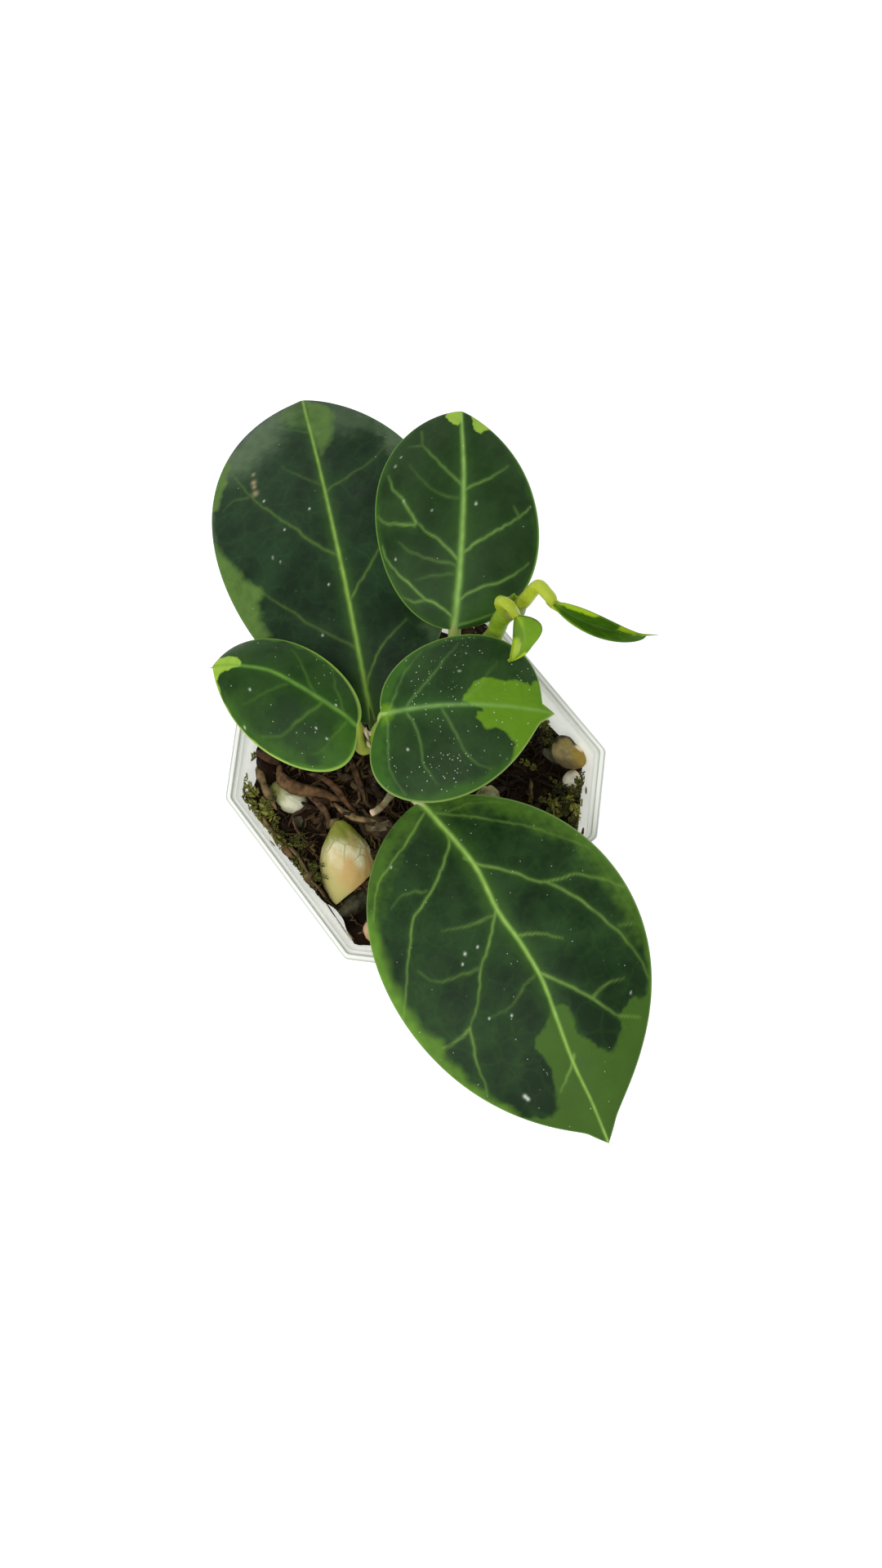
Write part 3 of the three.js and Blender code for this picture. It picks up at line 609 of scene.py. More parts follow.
# Each led fibre: half width in mm, hue, and points in x, y and height over the bed
LED_FIBRES = [
    (
        1.5, 0.25,
        [
            (-21.5, 22.4, 0.6), (-23.0, 19.0, 3.4), (-22.0, 15.0, 3.8), (-19.0, 11.5, 1.6),
            (-15.8, 6.9, 0.6)
        ]
    ),
    (0.9, 0.85, [(-26.3, 25.4, 0.6), (-26.4, 21.8, 1.6), (-27.4, 18.0, 1.2), (-28.2, 14.0, 0.8)]),
    (1.0, 0.1, [(-23.8, 27.8, 0.8), (-22.8, 25.0, 1.6), (-21.6, 21.6, 1.0)]),
    (0.8, 0.35, [(-21.0, 13.0, 0.8), (-20.0, 9.1, 1.4), (-20.2, 6.0, 1.2), (-21.6, 3.4, 0.8)]),
    (
        0.7, 0.15,
        [
            (-18.3, 16.8, 0.5), (-15.8, 12.9, 1.8), (-15.1, 9.1, 2.0), (-15.3, 4.6, 1.2),
            (-14.8, 1.1, 0.8)
        ]
    ),
    (0.9, 0.9, [(-17.4, 7.5, 0.8), (-16.9, 4.7, 1.4), (-15.4, 1.2, 1.8), (-12.4, -1.6, 1.4)]),
    (0.8, 0.2, [(-8.4, 14.4, 0.6), (-9.6, 10.0, 1.6), (-10.5, 6.9, 1.6), (-11.8, 3.4, 0.8)]),
    (0.9, 0.3, [(-26.3, 10.8, 0.6), (-27.2, 7.6, 1.5), (-27.2, 4.6, 1.2), (-26.6, 2.4, 0.6)]),
    (0.8, 0.95, [(-31.0, 6.0, 0.8), (-30.4, 3.6, 1.6), (-30.6, 0.6, 1.4), (-31.0, -2.4, 0.8)]),
    (0.7, 0.7, [(-31.6, -3.0, 0.8), (-31.0, -5.4, 1.4), (-31.2, -8.4, 0.8)]),
    (1.2, 0.95, [(-31.0, 14.6, 0.6), (-31.8, 12.6, 1.4), (-32.0, 10.4, 1.4), (-31.4, 8.2, 0.8)]),
    (0.8, 0.4, [(-31.0, 7.0, 0.8), (-31.8, 5.0, 1.6), (-31.4, 2.8, 1.0)]),
    (0.45, 0.9, [(19.6, -14.6, 0.6), (19.0, -15.8, 1.5), (17.6, -17.4, 1.6), (17.0, -18.8, 0.8)]),
]
led = np.stack([smooth_path(points, FIBRE_POINTS) for _, _, points in LED_FIBRES])
led[..., 2] += medium_top(led[..., 0], led[..., 1])
strewn, t = lay_strands(random, FIBRES, FIBRE_POINTS, (2.2, 6.5), 4.0, (0.6, 2.2))
fibres = keep_inside(np.concatenate([led, strewn]), 1.2)
half_width = np.concatenate([[row[0] for row in LED_FIBRES], random.uniform(0.4, 1.0, FIBRES)])
twist = np.linspace(-1, 1, FIBRE_POINTS) * random.uniform(-0.9, 0.9, len(fibres))[:, None]
half_width = half_width[:, None] * (1 - 0.8 * np.abs(t) ** 2.5) * (1 + 0.2 * waves(fibres, 3.5, 26))
fibre_points, fibre_faces, block = many_tubes(fibres, half_width, FIBRE_SIDES, 0.4, twist)
right_darkening = smoothstep(-26, 6, fibres[:, 0, 0])
led_share = np.arange(len(fibres)) < len(LED_FIBRES)
shade = np.where(
    led_share, 1 - 0.5 * right_darkening, random.uniform(0.1, 1, len(fibres)) * (1 - 0.9 * right_darkening)
)
hue = np.concatenate([[row[1] for row in LED_FIBRES], random.uniform(0, 1, FIBRES)])
streaks = random.uniform(0.45, 1.15, (len(fibres), 1, FIBRE_SIDES)) * np.ones((1, FIBRE_POINTS, 1))
shade = (shade[:, None, None] * streaks).ravel()
broad = dead_moss("dead_sphagnum_broad_fibre", "#180f08", "#6b4429", "#a0885a")
numbers = {"shade": shade, "hue": np.repeat(hue, block)}
piece("broad_fibres", fibre_points, fibre_faces, broad, numbers=numbers)

# Crumbs and straws stuck to the wall's inside: direction in degrees, height, half length, rise,
# half width, hue and shade. A heap of dark straws against the back right wall is painted shade, put
# where the wall lies in shadow: the same seven numbers, each drawn between two ends.
WALL_CRUMBS = [
    (166.8, 64.2, 0.8, -0.2, 0.3, 0.4, 0.9), (198.2, 59.4, 2.3, 0.4, 0.3, 0.3, 0.9),
    (203.5, 59.4, 4.6, 0.5, 0.12, 1, 1),
    (206.5, 60.2, 2.6, 0.3, 0.12, 1, 1), (210.5, 59.4, 2.2, 0.5, 0.42, 0.8, 0.8),
    (-43.2, 59.0, 0.8, -0.6, 0.35, 0.5, 0.8),
    (-58.4, 61.2, 1.5, 0.8, 0.6, 0.4, 0.6),
]
SHADE_HEAP_STRAWS = 130
SHADE_HEAP_ENDS = [(16, 38), (49, 63), (1, 2.6), (-2.4, 2.4), (0.4, 0.9), (0, 1), (0, 0.3)]
shade_heap = [random.uniform(*ends, SHADE_HEAP_STRAWS) for ends in SHADE_HEAP_ENDS]
crumbs = np.vstack([WALL_CRUMBS, np.stack(shade_heap, axis=1)])
turn, height, reach, rise, half_width, hue, shade = crumbs.T[:, :, None]
t = np.linspace(-1, 1, 7)
z = height + rise * t
angle = np.radians(turn) + reach * t / RIM_HALF
far = octagon_reach(inner_half(z), angle) - 0.25 - half_width / 2
paths = np.stack([far * np.cos(angle), far * np.sin(angle), z], axis=-1)
crumb_and_shade_points, crumb_and_shade_faces, block = many_tubes(paths, half_width * (1 - 0.6 * t * t), FIBRE_SIDES, 0.5)
numbers = {"shade": np.repeat(shade, block), "hue": np.repeat(hue, block)}
# One piece holds the real crumbs and straws and the heap of dark straws that paints shade
piece("wall_crumbs_and_painted_shade", crumb_and_shade_points, crumb_and_shade_faces, broad, numbers=numbers)

# %% [markdown]
# Live moss grows against the wall on the left and at the right. A moss shoot is a thin stem with
# small pointed leaves along both sides. Each leaf is a six-sided sliver, closed on itself, and all
# of them are placed by arrays along arched stems. A few bold shoots lean on the wall.

# %% Live moss
FROND_POINTS = 9
LEAF_PAIRS = 6


def frond_block(feet, heading, length, rise, leaf_length, tint, seed):
    """Stems arch from each foot: forward by length times t and up by rise times t (2 - t) less a
    droop. Leaves sit in pairs along the stem and lean forward."""
    random = np.random.default_rng(seed)
    count = len(feet)
    t = np.linspace(0, 1, FROND_POINTS)
    ahead = np.stack([np.cos(heading), np.sin(heading), np.zeros(count)], axis=-1)
    side = np.stack([-np.sin(heading), np.cos(heading), np.zeros(count)], axis=-1)
    sway = random.uniform(-0.35, 0.35, count)
    paths = feet[:, None] + (length[:, None] * t)[..., None] * ahead[:, None]
    paths = paths + (sway[:, None] * length[:, None] * t * t)[..., None] * side[:, None]
    paths[..., 2] += rise[:, None] * t * (2 - t) - 0.35 * rise[:, None] * t**3
    paths = keep_inside(paths, 0.7)
    stems, faces, block = many_tubes(paths, 0.14 * np.ones((count, FROND_POINTS)) * (1 - 0.6 * t))
    pick = np.linspace(1, FROND_POINTS - 1, LEAF_PAIRS).round().astype(int)
    root = np.repeat(paths[:, pick], 2, axis=1)
    hand = np.tile([1.0, -1.0], LEAF_PAIRS)[None, :, None]
    size = leaf_length[:, None, None] * (1 - 0.45 * np.repeat(t[pick], 2))[None, :, None]
    size = size * random.uniform(0.7, 1.2, (count, 2 * LEAF_PAIRS, 1))
    up = np.array([0, 0, 1.0])
    out = 0.55 * ahead[:, None] + 0.8 * hand * side[:, None] + random.uniform(0, 0.6, size.shape) * up
    tip = root + size * out
    width = 0.38 * size * ahead[:, None]
    middle = root + 0.45 * (tip - root)
    ridge = middle + 0.12 * size * up
    leaf = np.stack([root, middle - width, tip, middle + width, ridge], axis=2)
    leaf = keep_inside(leaf, 0.45)
    flat = np.array([[0, 1, 4], [1, 2, 4], [2, 3, 4], [3, 0, 4], [0, 3, 2], [0, 2, 1]])
    shift = (np.arange(count * 2 * LEAF_PAIRS) * 5)[:, None, None]
    leaves = (flat[None] + shift).reshape(-1, 3) + len(stems)
    points = np.vstack([stems, leaf.reshape(-1, 3)])
    numbers = np.concatenate([np.repeat(tint, block), np.repeat(tint, 2 * LEAF_PAIRS * 5)])
    return points, [*faces, leaves], numbers


live_moss, shader = begin("live_hypnum_moss", Roughness=0.6, Specular_IOR_Level=0.25)
tint_share = attribute(live_moss, "tint")
place = object_place(live_moss)
flecks = noise(live_moss, place, 0.002)
young = blend_colours(live_moss, tint_share, "#26270a", "#b0ac52")
mixed = combine(live_moss, "MULTIPLY", flecks, 0.6)
tone = blend_colours(live_moss, mixed, young, "#4c5216")
link(live_moss, tone, shader, "Base Color")


def moss_patch(name, centre, spread, count, tints, seed, nodes=(), bold=()):
    """Shoots whose feet lie evenly over an ellipse round centre, leaning every way, and bold shoots
    given one by one: x, y, heading in degrees, length, rise, leaf length and tint."""
    random = np.random.default_rng(seed)
    turn = random.uniform(0, 2 * math.pi, count)
    far = np.sqrt(random.uniform(0, 1, count))
    bold = np.array(bold, float).reshape(-1, 7)
    x = np.concatenate([centre[0] + spread[0] * far * np.cos(turn), bold[:, 0]])
    y = np.concatenate([centre[1] + spread[1] * far * np.sin(turn), bold[:, 1]])
    feet = keep_inside(np.stack([x, y, medium_top(x, y)], axis=-1), 1.0)
    heading = np.concatenate([random.uniform(0, 2 * math.pi, count), np.radians(bold[:, 2])])
    length = np.concatenate([random.uniform(2.2, 5.2, count), bold[:, 3]])
    rise = np.concatenate([random.uniform(0.6, 2.2, count), bold[:, 4]])
    leaf_length = np.concatenate([random.uniform(0.9, 1.4, count), bold[:, 5]])
    tint = np.concatenate([random.uniform(*tints, count), bold[:, 6]])
    made = frond_block(feet, heading, length, rise, leaf_length, tint, seed + 100)
    return piece(name, made[0], made[1], live_moss, nodes, numbers={"tint": made[2]})


LEFT_BOLD = [
    (-30.0, 19.4, 108, 5.4, 2.6, 2.1, 0.5), (-30.8, 18.8, 122, 4.6, 2.4, 1.9, 0.4),
    (-29.4, 18.6, 98, 4.8, 2.4, 1.8, 0.6),
    (-28.0, 14.6, 160, 6.6, 3.4, 2.5, 0.7), (-28.2, 15.8, 150, 5.8, 3.0, 2.3, 0.45),
    (-28.4, 13.4, 172, 6.0, 3.0, 2.3, 0.85),
    (-32.4, 10.4, 262, 4.4, 3.0, 1.9, 0.45), (-32.0, 9.8, 276, 4.2, 2.6, 1.8, 0.35),
    (-31.0, 12.0, 215, 3.4, 2.6, 1.9, 1.0),
    (-24.6, 27.0, 150, 3.6, 2.4, 1.6, 0.5), (-30.6, 2.6, 250, 3.6, 2.0, 1.5, 0.4),
]
RIGHT_BOLD = [
    (23.2, -24.4, 256, 5.0, 5.0, 1.3, 1.2), (22.8, -26.0, 335, 3.4, 6.0, 1.1, 1.1),
    (24.0, -23.6, 20, 5.4, 6.0, 2.0, 0.2),
    (24.8, -24.2, 34, 4.6, 5.0, 1.8, 0.15), (20.4, -20.4, 265, 3.6, 2.6, 1.9, 0.6),
    (20.8, -22.4, 320, 3.2, 2.6, 1.7, 0.7),
    (22.0, -14.0, 110, 4.0, 2.4, 1.4, 0.35), (28.2, -8.0, 30, 3.6, 2.4, 1.7, 0.3),
    (18.6, -23.4, 40, 3.6, 2.4, 1.7, 0.4),
]
moss_patch("moss_left_shoots", (-30.8, 8.0), (1.2, 9.5), 24, (0.0, 0.35), 41, ["moss_left"], LEFT_BOLD)
moss_patch(
    "moss_right_shoots", (19.5, -23.5), (8.0, 4.4), 52, (0.0, 0.35), 42, ["moss_right"], RIGHT_BOLD
)
moss_patch("moss_front_left_shoots", (-31.6, -3.0), (0.6, 4.6), 8, (0.0, 0.4), 43)
moss_patch("moss_back_right_shoots", (27.0, -4.0), (4.0, 9.0), 44, (0.0, 0.3), 44)

# %% [markdown]
# The stones are river gravel, worn round, and one is broken flat at its foot. A stone starts as a
# sphere, is drawn to its half sizes and to a point if it has one, and is then lumped by waves of
# three sizes and by lobes. Sizes and places repeat those of the CAD model.

# %% Shape of a stone
LOBES = {
    "beige_stone": [((0.5, 0.75, 0.5), 0.2), ((0.5, -0.75, 0.45), 0.3), ((-0.6, 0.1, 0.7), 0.1)],
    "green_stone": [((0.4, -0.6, 0.5), 0.14)],
    "cream_stone": [((0.3, 0.6, 0.5), 0.15)],
    "teardrop_stone": [((0.6, 0.2, -0.75), 0.16)],
}
LOBE_WIDTH = 0.22
# Stains seen on a stone, and one painted highlight on the beige stone: colour, the direction from
# its middle that they face, and their reach
STAINS_AND_HIGHLIGHTS = {
    "teardrop_stone": [
        ("#c2ba7e", (-0.82, 0.49, 0.31), 0.34), ("#80842c", (0.5, 0.82, 0.28), 0.42),
        ("#c9a766", (-0.02, -0.95, 0.3), 0.62),
        ("#c2b872", (-0.93, -0.28, 0.25), 0.4),
    ],
    "beige_stone": [
        ("#9a8036", (0.28, -0.91, 0.32), 0.36), ("#6a5a3c", (-0.79, -0.52, 0.34), 0.34),
        # The small near-white spot on the beige stone is a painted highlight
        ("#efe0c2", (0.72, -0.28, 0.63), 0.025), ("#2c2812", (0.6, 0.76, 0.22), 0.5),
        ("#8f7f4c", (0.2, 0.3, 0.93), 0.12),
    ],
    "green_stone": [("#d6d4b6", (-0.05, -0.82, 0.57), 0.3), ("#77783f", (-0.39, 0.86, 0.33), 0.4)],
}


def turned(points, lean, turn):
    """Points turned about X by lean degrees and then about Z by turn degrees."""
    a, b = math.radians(lean), math.radians(turn)
    about_x = np.array([[1, 0, 0], [0, math.cos(a), -math.sin(a)], [0, math.sin(a), math.cos(a)]])
    about_z = np.array([[math.cos(b), -math.sin(b), 0], [math.sin(b), math.cos(b), 0], [0, 0, 1]])
    return points @ (about_z @ about_x).T


def above_pot(point):
    return np.array(point, float) + (0, 0, POT_HEIGHT)


def stone_points(
    seed, at, half, turn=0, lean=0, point=0, foot=1, slant=0, rows=60, around=80, chips=0.02, lobes=()
):
    """A sphere by latitude and longitude, narrowed by 1 - 0.75 point z squared above its middle and
    pushed out along its radius by waves and by lobes, each a bell of the cosine to its direction.
    It is cut where z is less than minus foot less slant times x. Also gives each point's place on
    the sphere."""
    latitude = np.linspace(-math.pi / 2, math.pi / 2, rows + 2)[1:-1, None]
    longitude = np.linspace(0, 2 * math.pi, around, endpoint=False)[None, :]
    level = np.cos(latitude)
    ball = [
        level * np.cos(longitude), level * np.sin(longitude), np.sin(latitude) * np.ones_like(longitude)
    ]
    ball = np.vstack([np.stack(ball, axis=-1).reshape(-1, 3), [[0, 0, -1], [0, 0, 1]]])
    top = np.maximum(ball[:, 2], 0)
    swell = 1 + 0.07 * waves(ball, 3.0, seed) + 0.03 * waves(ball, 0.9, seed + 1)
    swell = swell + chips * waves(ball, 0.3, seed + 2, 20)
    for direction, gain in lobes:
        away = 1 - ball @ (np.array(direction) / np.linalg.norm(direction))
        swell = swell + gain * np.exp(-((away / LOBE_WIDTH) ** 2))
    narrow = 1 - 0.75 * point * top**2
    z = ball[:, 2] * (1 + 0.5 * point * top**2)
    shape = np.stack([ball[:, 0] * narrow, ball[:, 1] * narrow, z], axis=1) * swell[:, None]
    break_face = -foot - slant * shape[:, 0] + 0.02 * waves(ball, 0.5, seed + 3)
    shape[:, 2] = np.maximum(shape[:, 2], break_face)
    shape = shape * half
    placed = turned(shape, lean, turn) + above_pot(at)
    return keep_inside(placed, 0.3), closed_faces(rows, around), ball


print("stones:", ", ".join(STONES))

# %% [markdown]
# Each stone is weathered limestone or river stone: matt, with a fine grain, stains in patches and
# a few cracks. One finish serves them all with other colours. Noise of three sizes gives stains,
# mottling and grain, and the edges between Voronoi cells give the cracks.

# %% Finish of the stones
def stone_finish(name, main, stain, light, crack="#6b5a34", crack_share=0.0, roughness=0.8):
    """Weathered stone: main colour with stains and light grains, and cracks where it has them."""
    material, shader = begin(name, Roughness=roughness, Specular_IOR_Level=0.3)
    place = object_place(material)
    patches = noise(material, place, 0.004, 4.0)
    sharp = stretch(material, patches, (0.4, 0.64))
    grain = noise(material, place, 0.0012, 4.0)
    grains = stretch(material, grain, (0.42, 0.9))
    colour = blend_colours(material, sharp, main, stain)
    colour = blend_colours(material, grains, colour, light)
    warp = noise(material, place, 0.003, output="Color")
    bent = add(material, "ShaderNodeMix", {0: 0.3, 4: place, 5: warp}, data_type="VECTOR")
    cells = add(
        material, "ShaderNodeTexVoronoi", {"Vector": place, "Scale": 1 / 0.0042},
        feature="DISTANCE_TO_EDGE"
    )
    line = stretch(material, cells.outputs["Distance"], (0.0, 0.035), (crack_share, 0.0))
    colour = blend_colours(material, line, colour, crack)
    roughen(material, shader, grain, 0.5, 0.0003)
    return material, shader, colour


PLAIN_STONES = {
    "dark_stone": ("wet_slate_worn", "#3f3d26", "#1c190f", "#5c5a40"),
    "green_stone": ("green_quartz_worn", "#a3a57a", "#8c8e5c", "#b6b68e"),
    "grey_stone": ("limestone_worn", "#6b5f44", "#3d3421", "#a39a78"),
    "beige_stone": ("sandstone_knobbly", "#9a8858", "#75683c", "#b3a37a"),
    "cream_stone": ("chalky_limestone", "#f2e8d2", "#d8cca6", "#fffaf0"),
    "round_stone": ("limestone_mossy", "#9a9468", "#5c5a34", "#c4bd96"),
    "tan_stone": ("tan_quartz_worn", "#c39a6c", "#8b6340", "#e3c9a2"),
}


def stains_and_highlights(material, shader, colour, node, ball, seed):
    """Lays a stone's stains, and the painted highlight of the beige stone, over its colour. Each is 1
    less a smooth step of 1 - the cosine of the angle between a point's direction and its own, with
    waves added. Returns the shares."""
    stone = STONES[node]
    facing = turned(ball, stone.get("lean", 0), stone.get("turn", 0))
    numbers = {}
    for k, (stain_and_highlight_colour, direction, reach) in enumerate(STAINS_AND_HIGHLIGHTS.get(node, [])):
        away = 1 - facing @ (np.array(direction) / np.linalg.norm(direction))
        numbers[f"stain_{k}"] = smoothstep(
            reach * 1.5, reach * 0.4, away + 0.4 * reach * waves(facing, 0.7, seed + k)
        )
        share = attribute(material, f"stain_{k}")
        colour = blend_colours(material, share, colour, stain_and_highlight_colour)
    link(material, colour, shader, "Base Color")
    return numbers


for seed, (node, look) in enumerate(PLAIN_STONES.items()):
    material, shader, colour = stone_finish(*look)
    points, faces, ball = stone_points(40 + 5 * seed, lobes=LOBES.get(node, ()), **STONES[node])
    numbers = stains_and_highlights(material, shader, colour, node, ball, 90 + 5 * seed)
    piece(node + "_worn", points, faces, material, [node], numbers)

# Pebbles too small for the CAD model, half buried and dark with wet
PEBBLES = {
    "pebble_right": dict(at=(26.4, -13.2, -14.2), half=(1.2, 2.6, 1.6), turn=12),
    "pebble_left": dict(at=(-26.2, 9.4, -7.6), half=(3.0, 2.0, 1.8), turn=-30),
    "pebble_by_teardrop": dict(at=(-27.4, 2.0, -7.0), half=(1.2, 0.9, 0.9)),
}
material, shader, colour = stone_finish("pebble_wet", "#4c4a38", "#302f20", "#6a6850")
link(material, colour, shader, "Base Color")
for seed, (name, pebble) in enumerate(PEBBLES.items()):
    points, faces, ball = stone_points(140 + 5 * seed, rows=24, around=32, **pebble)
    piece(name, points, faces, material)

# %% [markdown]
# The big teardrop stone shows most. Algae stain its tip olive, its middle is cream with fine
# cracks, its left flank is olive tan, and towards its broken foot it turns rusty.

# %% Teardrop stone
material, shader, colour = stone_finish(
    "limestone_algae_stained", "#e4dcae", "#cdc48f", "#f4eed0",
    crack="#857b4a", crack_share=0.75, roughness=0.62,
)
points, faces, ball = stone_points(
    3, chips=0.012, rows=90, around=120, lobes=LOBES["teardrop_stone"], **STONES["teardrop_stone"]
)
numbers = stains_and_highlights(material, shader, colour, "teardrop_stone", ball, 81)
piece("teardrop_stone_worn", points, faces, material, ["teardrop_stone"], numbers)

# %% [markdown]
# The stem is a living green shoot, woody at its foot, thicker where leaves leave it. Its radius
# repeats the CAD model's: a slow taper, plus a short swelling at each node. Fine waves along it
# give the faint ribs of a young shoot.

# %% Stem
STEM_POINTS = [
    (-4.1, 8.3, -20), (-3.4, 7.1, -8), (-2.3, 6.6, 3), (-1.6, 6.8, 11), (-0.3, 6.9, 15.4),
    (3.8, 6.8, 17), (8.3, 7.3, 16), (15, 8.1, 15), (21.2, 8.7, 16), (26.1, 7.5, 17.6),
    (30, 6.5, 21), (33.1, 6.3, 28), (36.6, 4.1, 35.4),
]
STEM_RADIUS = 1.85
NODE_SWELLING = 0.55
STEM_NODES = (0.29, 0.46, 0.72, 0.97)
STEM_STEPS = 300
STEM_SIDES = 36

t = np.linspace(0, 1, STEM_STEPS)
swelling = sum(np.exp(-(((t - node) / 0.022) ** 2)) for node in STEM_NODES)
ends = np.minimum(1, np.minimum(0.55 + 12 * t, 0.6 + 14 * (1 - t)))
radius = (STEM_RADIUS * (1.06 - 0.1 * t) + NODE_SWELLING * swelling) * ends - 0.05
path = smooth_path([above_pot(p) for p in STEM_POINTS], STEM_STEPS)
points, faces = tube(path, radius, STEM_SIDES)
ribs = 0.03 * waves(points, 1.6, 61) + 0.02 * waves(points, 0.7, 62)
points = swollen(points, path, STEM_SIDES, ribs)
along = np.concatenate([np.repeat(t, STEM_SIDES), [0, 1]])
node_share = np.concatenate([np.repeat(swelling, STEM_SIDES), [0, 0]])


def shoot_finish(name, green, pale, brown, roughness=0.45):
    """A living shoot: green with paler flecks, brown where the attribute 'woody' is 1."""
    material, shader = begin(name, Roughness=roughness, Specular_IOR_Level=0.3)
    place = object_place(material)
    woody = attribute(material, "woody")
    flecks = noise(material, place, 0.0011, 3.0)
    patches = noise(material, place, 0.006, 3.0)
    colour = blend_colours(material, patches, green, pale)
    bark = blend_colours(material, flecks, brown, "#a58f70")
    ragged = combine(material, "MULTIPLY_ADD", flecks, 0.5, woody)
    edge = stretch(material, ragged, (0.6, 0.9))
    colour = blend_colours(material, edge, colour, bark)
    link(material, colour, shader, "Base Color")
    roughen(material, shader, flecks, 0.35, 0.0002)
    return material


green_shoot = shoot_finish("green_shoot_waxy", "#5e7c10", "#88a420", "#6a4a36")
woody = np.clip(1.2 * (1 - along / 0.3), 0, 1) + 0.55 * node_share
piece("stem_shoot", points, faces, green_shoot, ["vine_stem"], {"woody": woody})

# %% [markdown]
# The old stub is the cut end of an earlier shoot, dried to a greyish olive, with a pale pinkish
# face where it was cut. The bud at the growing end is a small green point.

# %% Old stub and bud
STUB_POINTS = [
    (-3.4, 2.2, -13), (-5.6, 0.2, -3), (-7.6, -1.1, 0.4), (-9.4, -1.5, 0.5), (-11.8, -1.1, 0.2)
]
STUB_RADIUS = 0.8
STUB_STEPS = 70
STUB_SIDES = 24
path = smooth_path([above_pot(p) for p in STUB_POINTS], STUB_STEPS)
t = np.linspace(0, 1, STUB_STEPS)
points, faces = tube(path, STUB_RADIUS * (1 - 0.12 * np.sin(9 * t)), STUB_SIDES)
points = swollen(points, path, STUB_SIDES, 0.07 * waves(points, 0.9, 63))
along = np.concatenate([np.repeat(t, STUB_SIDES), [0, 1]])
dry_stub, shader = begin("dry_shoot_cut", Roughness=0.85)
place = object_place(dry_stub)
grain = noise(dry_stub, place, 0.0008, 4.0)
cut_share = attribute(dry_stub, "cut")
ring_share = attribute(dry_stub, "ring")
skin = blend_colours(dry_stub, grain, "#5a5634", "#b0a880")
skin = blend_colours(dry_stub, ring_share, skin, "#6a4a30")
link(dry_stub, blend_colours(dry_stub, cut_share, skin, "#e6c4a0"), shader, "Base Color")
numbers = {"cut": smoothstep(0.93, 0.985, along), "ring": np.exp(-(((along - 0.85) / 0.03) ** 2))}
piece("stub_dry", points, faces, dry_stub, ["old_stub"], numbers)

BUD_POINTS = [(35.8, 6.0, 34.6), (36.2, 5.8, 36), (36.5, 5.6, 37.4)]
BUD_RADIUS = 0.55
BUD_STEPS = 24
t = np.linspace(0, 1, BUD_STEPS)
path = smooth_path([above_pot(p) for p in BUD_POINTS], BUD_STEPS)
points, faces = tube(path, BUD_RADIUS * (1 - 0.75 * t**2.2), 16)
piece(
    "bud_tip", points, faces, green_shoot, ["shoot_bud"], {"woody": np.zeros(len(points))}
)

# %% [markdown]
# Where the leaves' stalks meet in the middle, dry papery scales of an old shoot are left: beige,
# thin and a little curled. They are flattened tubes, like the broad fibres.

# %% Dry scales at the leaves' foot
# Each scale: its half width in mm and its points
SCALES = [
    (0.5, [(-1.0, 10.1, 17.2), (-1.2, 8.9, 17.7), (-0.8, 7.8, 17.5), (0.6, 8.0, 17.0)]),
    (0.4, [(-1.9, 7.2, 16.6), (-2.4, 6.5, 16.9), (-2.5, 5.7, 16.2)]),
    (0.35, [(-0.6, 9.4, 17.4), (-1.4, 8.2, 18.0), (-1.8, 7.2, 17.2)]),
]
SCALE_STEPS = 14
SCALE_SIDES = 8
SCALE_FLATNESS = 0.3
paths = [smooth_path([above_pot(p) for p in points], SCALE_STEPS) for _, points in SCALES]
paths = np.stack(paths)
t = np.linspace(-1, 1, SCALE_STEPS)
half_width = np.array([row[0] for row in SCALES])[:, None] * (1 - 0.7 * t * t)
half_width = half_width * (1 + 0.2 * waves(paths, 1.5, 64))
points, faces, block = many_tubes(paths, half_width, SCALE_SIDES, SCALE_FLATNESS, 0.8 * t)
papery, shader = begin("dry_scale_papery", Roughness=0.8)
place = object_place(papery)
grain = noise(papery, place, 0.0007, 4.0)
link(papery, blend_colours(papery, grain, "#8d7a58", "#ddcdac"), shader, "Base Color")
piece("dry_scales", points, faces, papery)

# %% [markdown]
# A leaf is a sheet whose points follow from two numbers: u runs from its base to its tip, and v
# from the left margin at -1 over the midrib at 0 to the right margin at 1. The half width of each
# side is u to one power times 1 - u to another, as in the CAD model. Each leaf keeps its own
# numbers, because no two leaves of a plant are alike.

# %% Leaves: the numbers of each
def side(width, baseward, tipward, lobe):
    return dict(width=width, baseward=baseward, tipward=tipward, lobe=lobe)


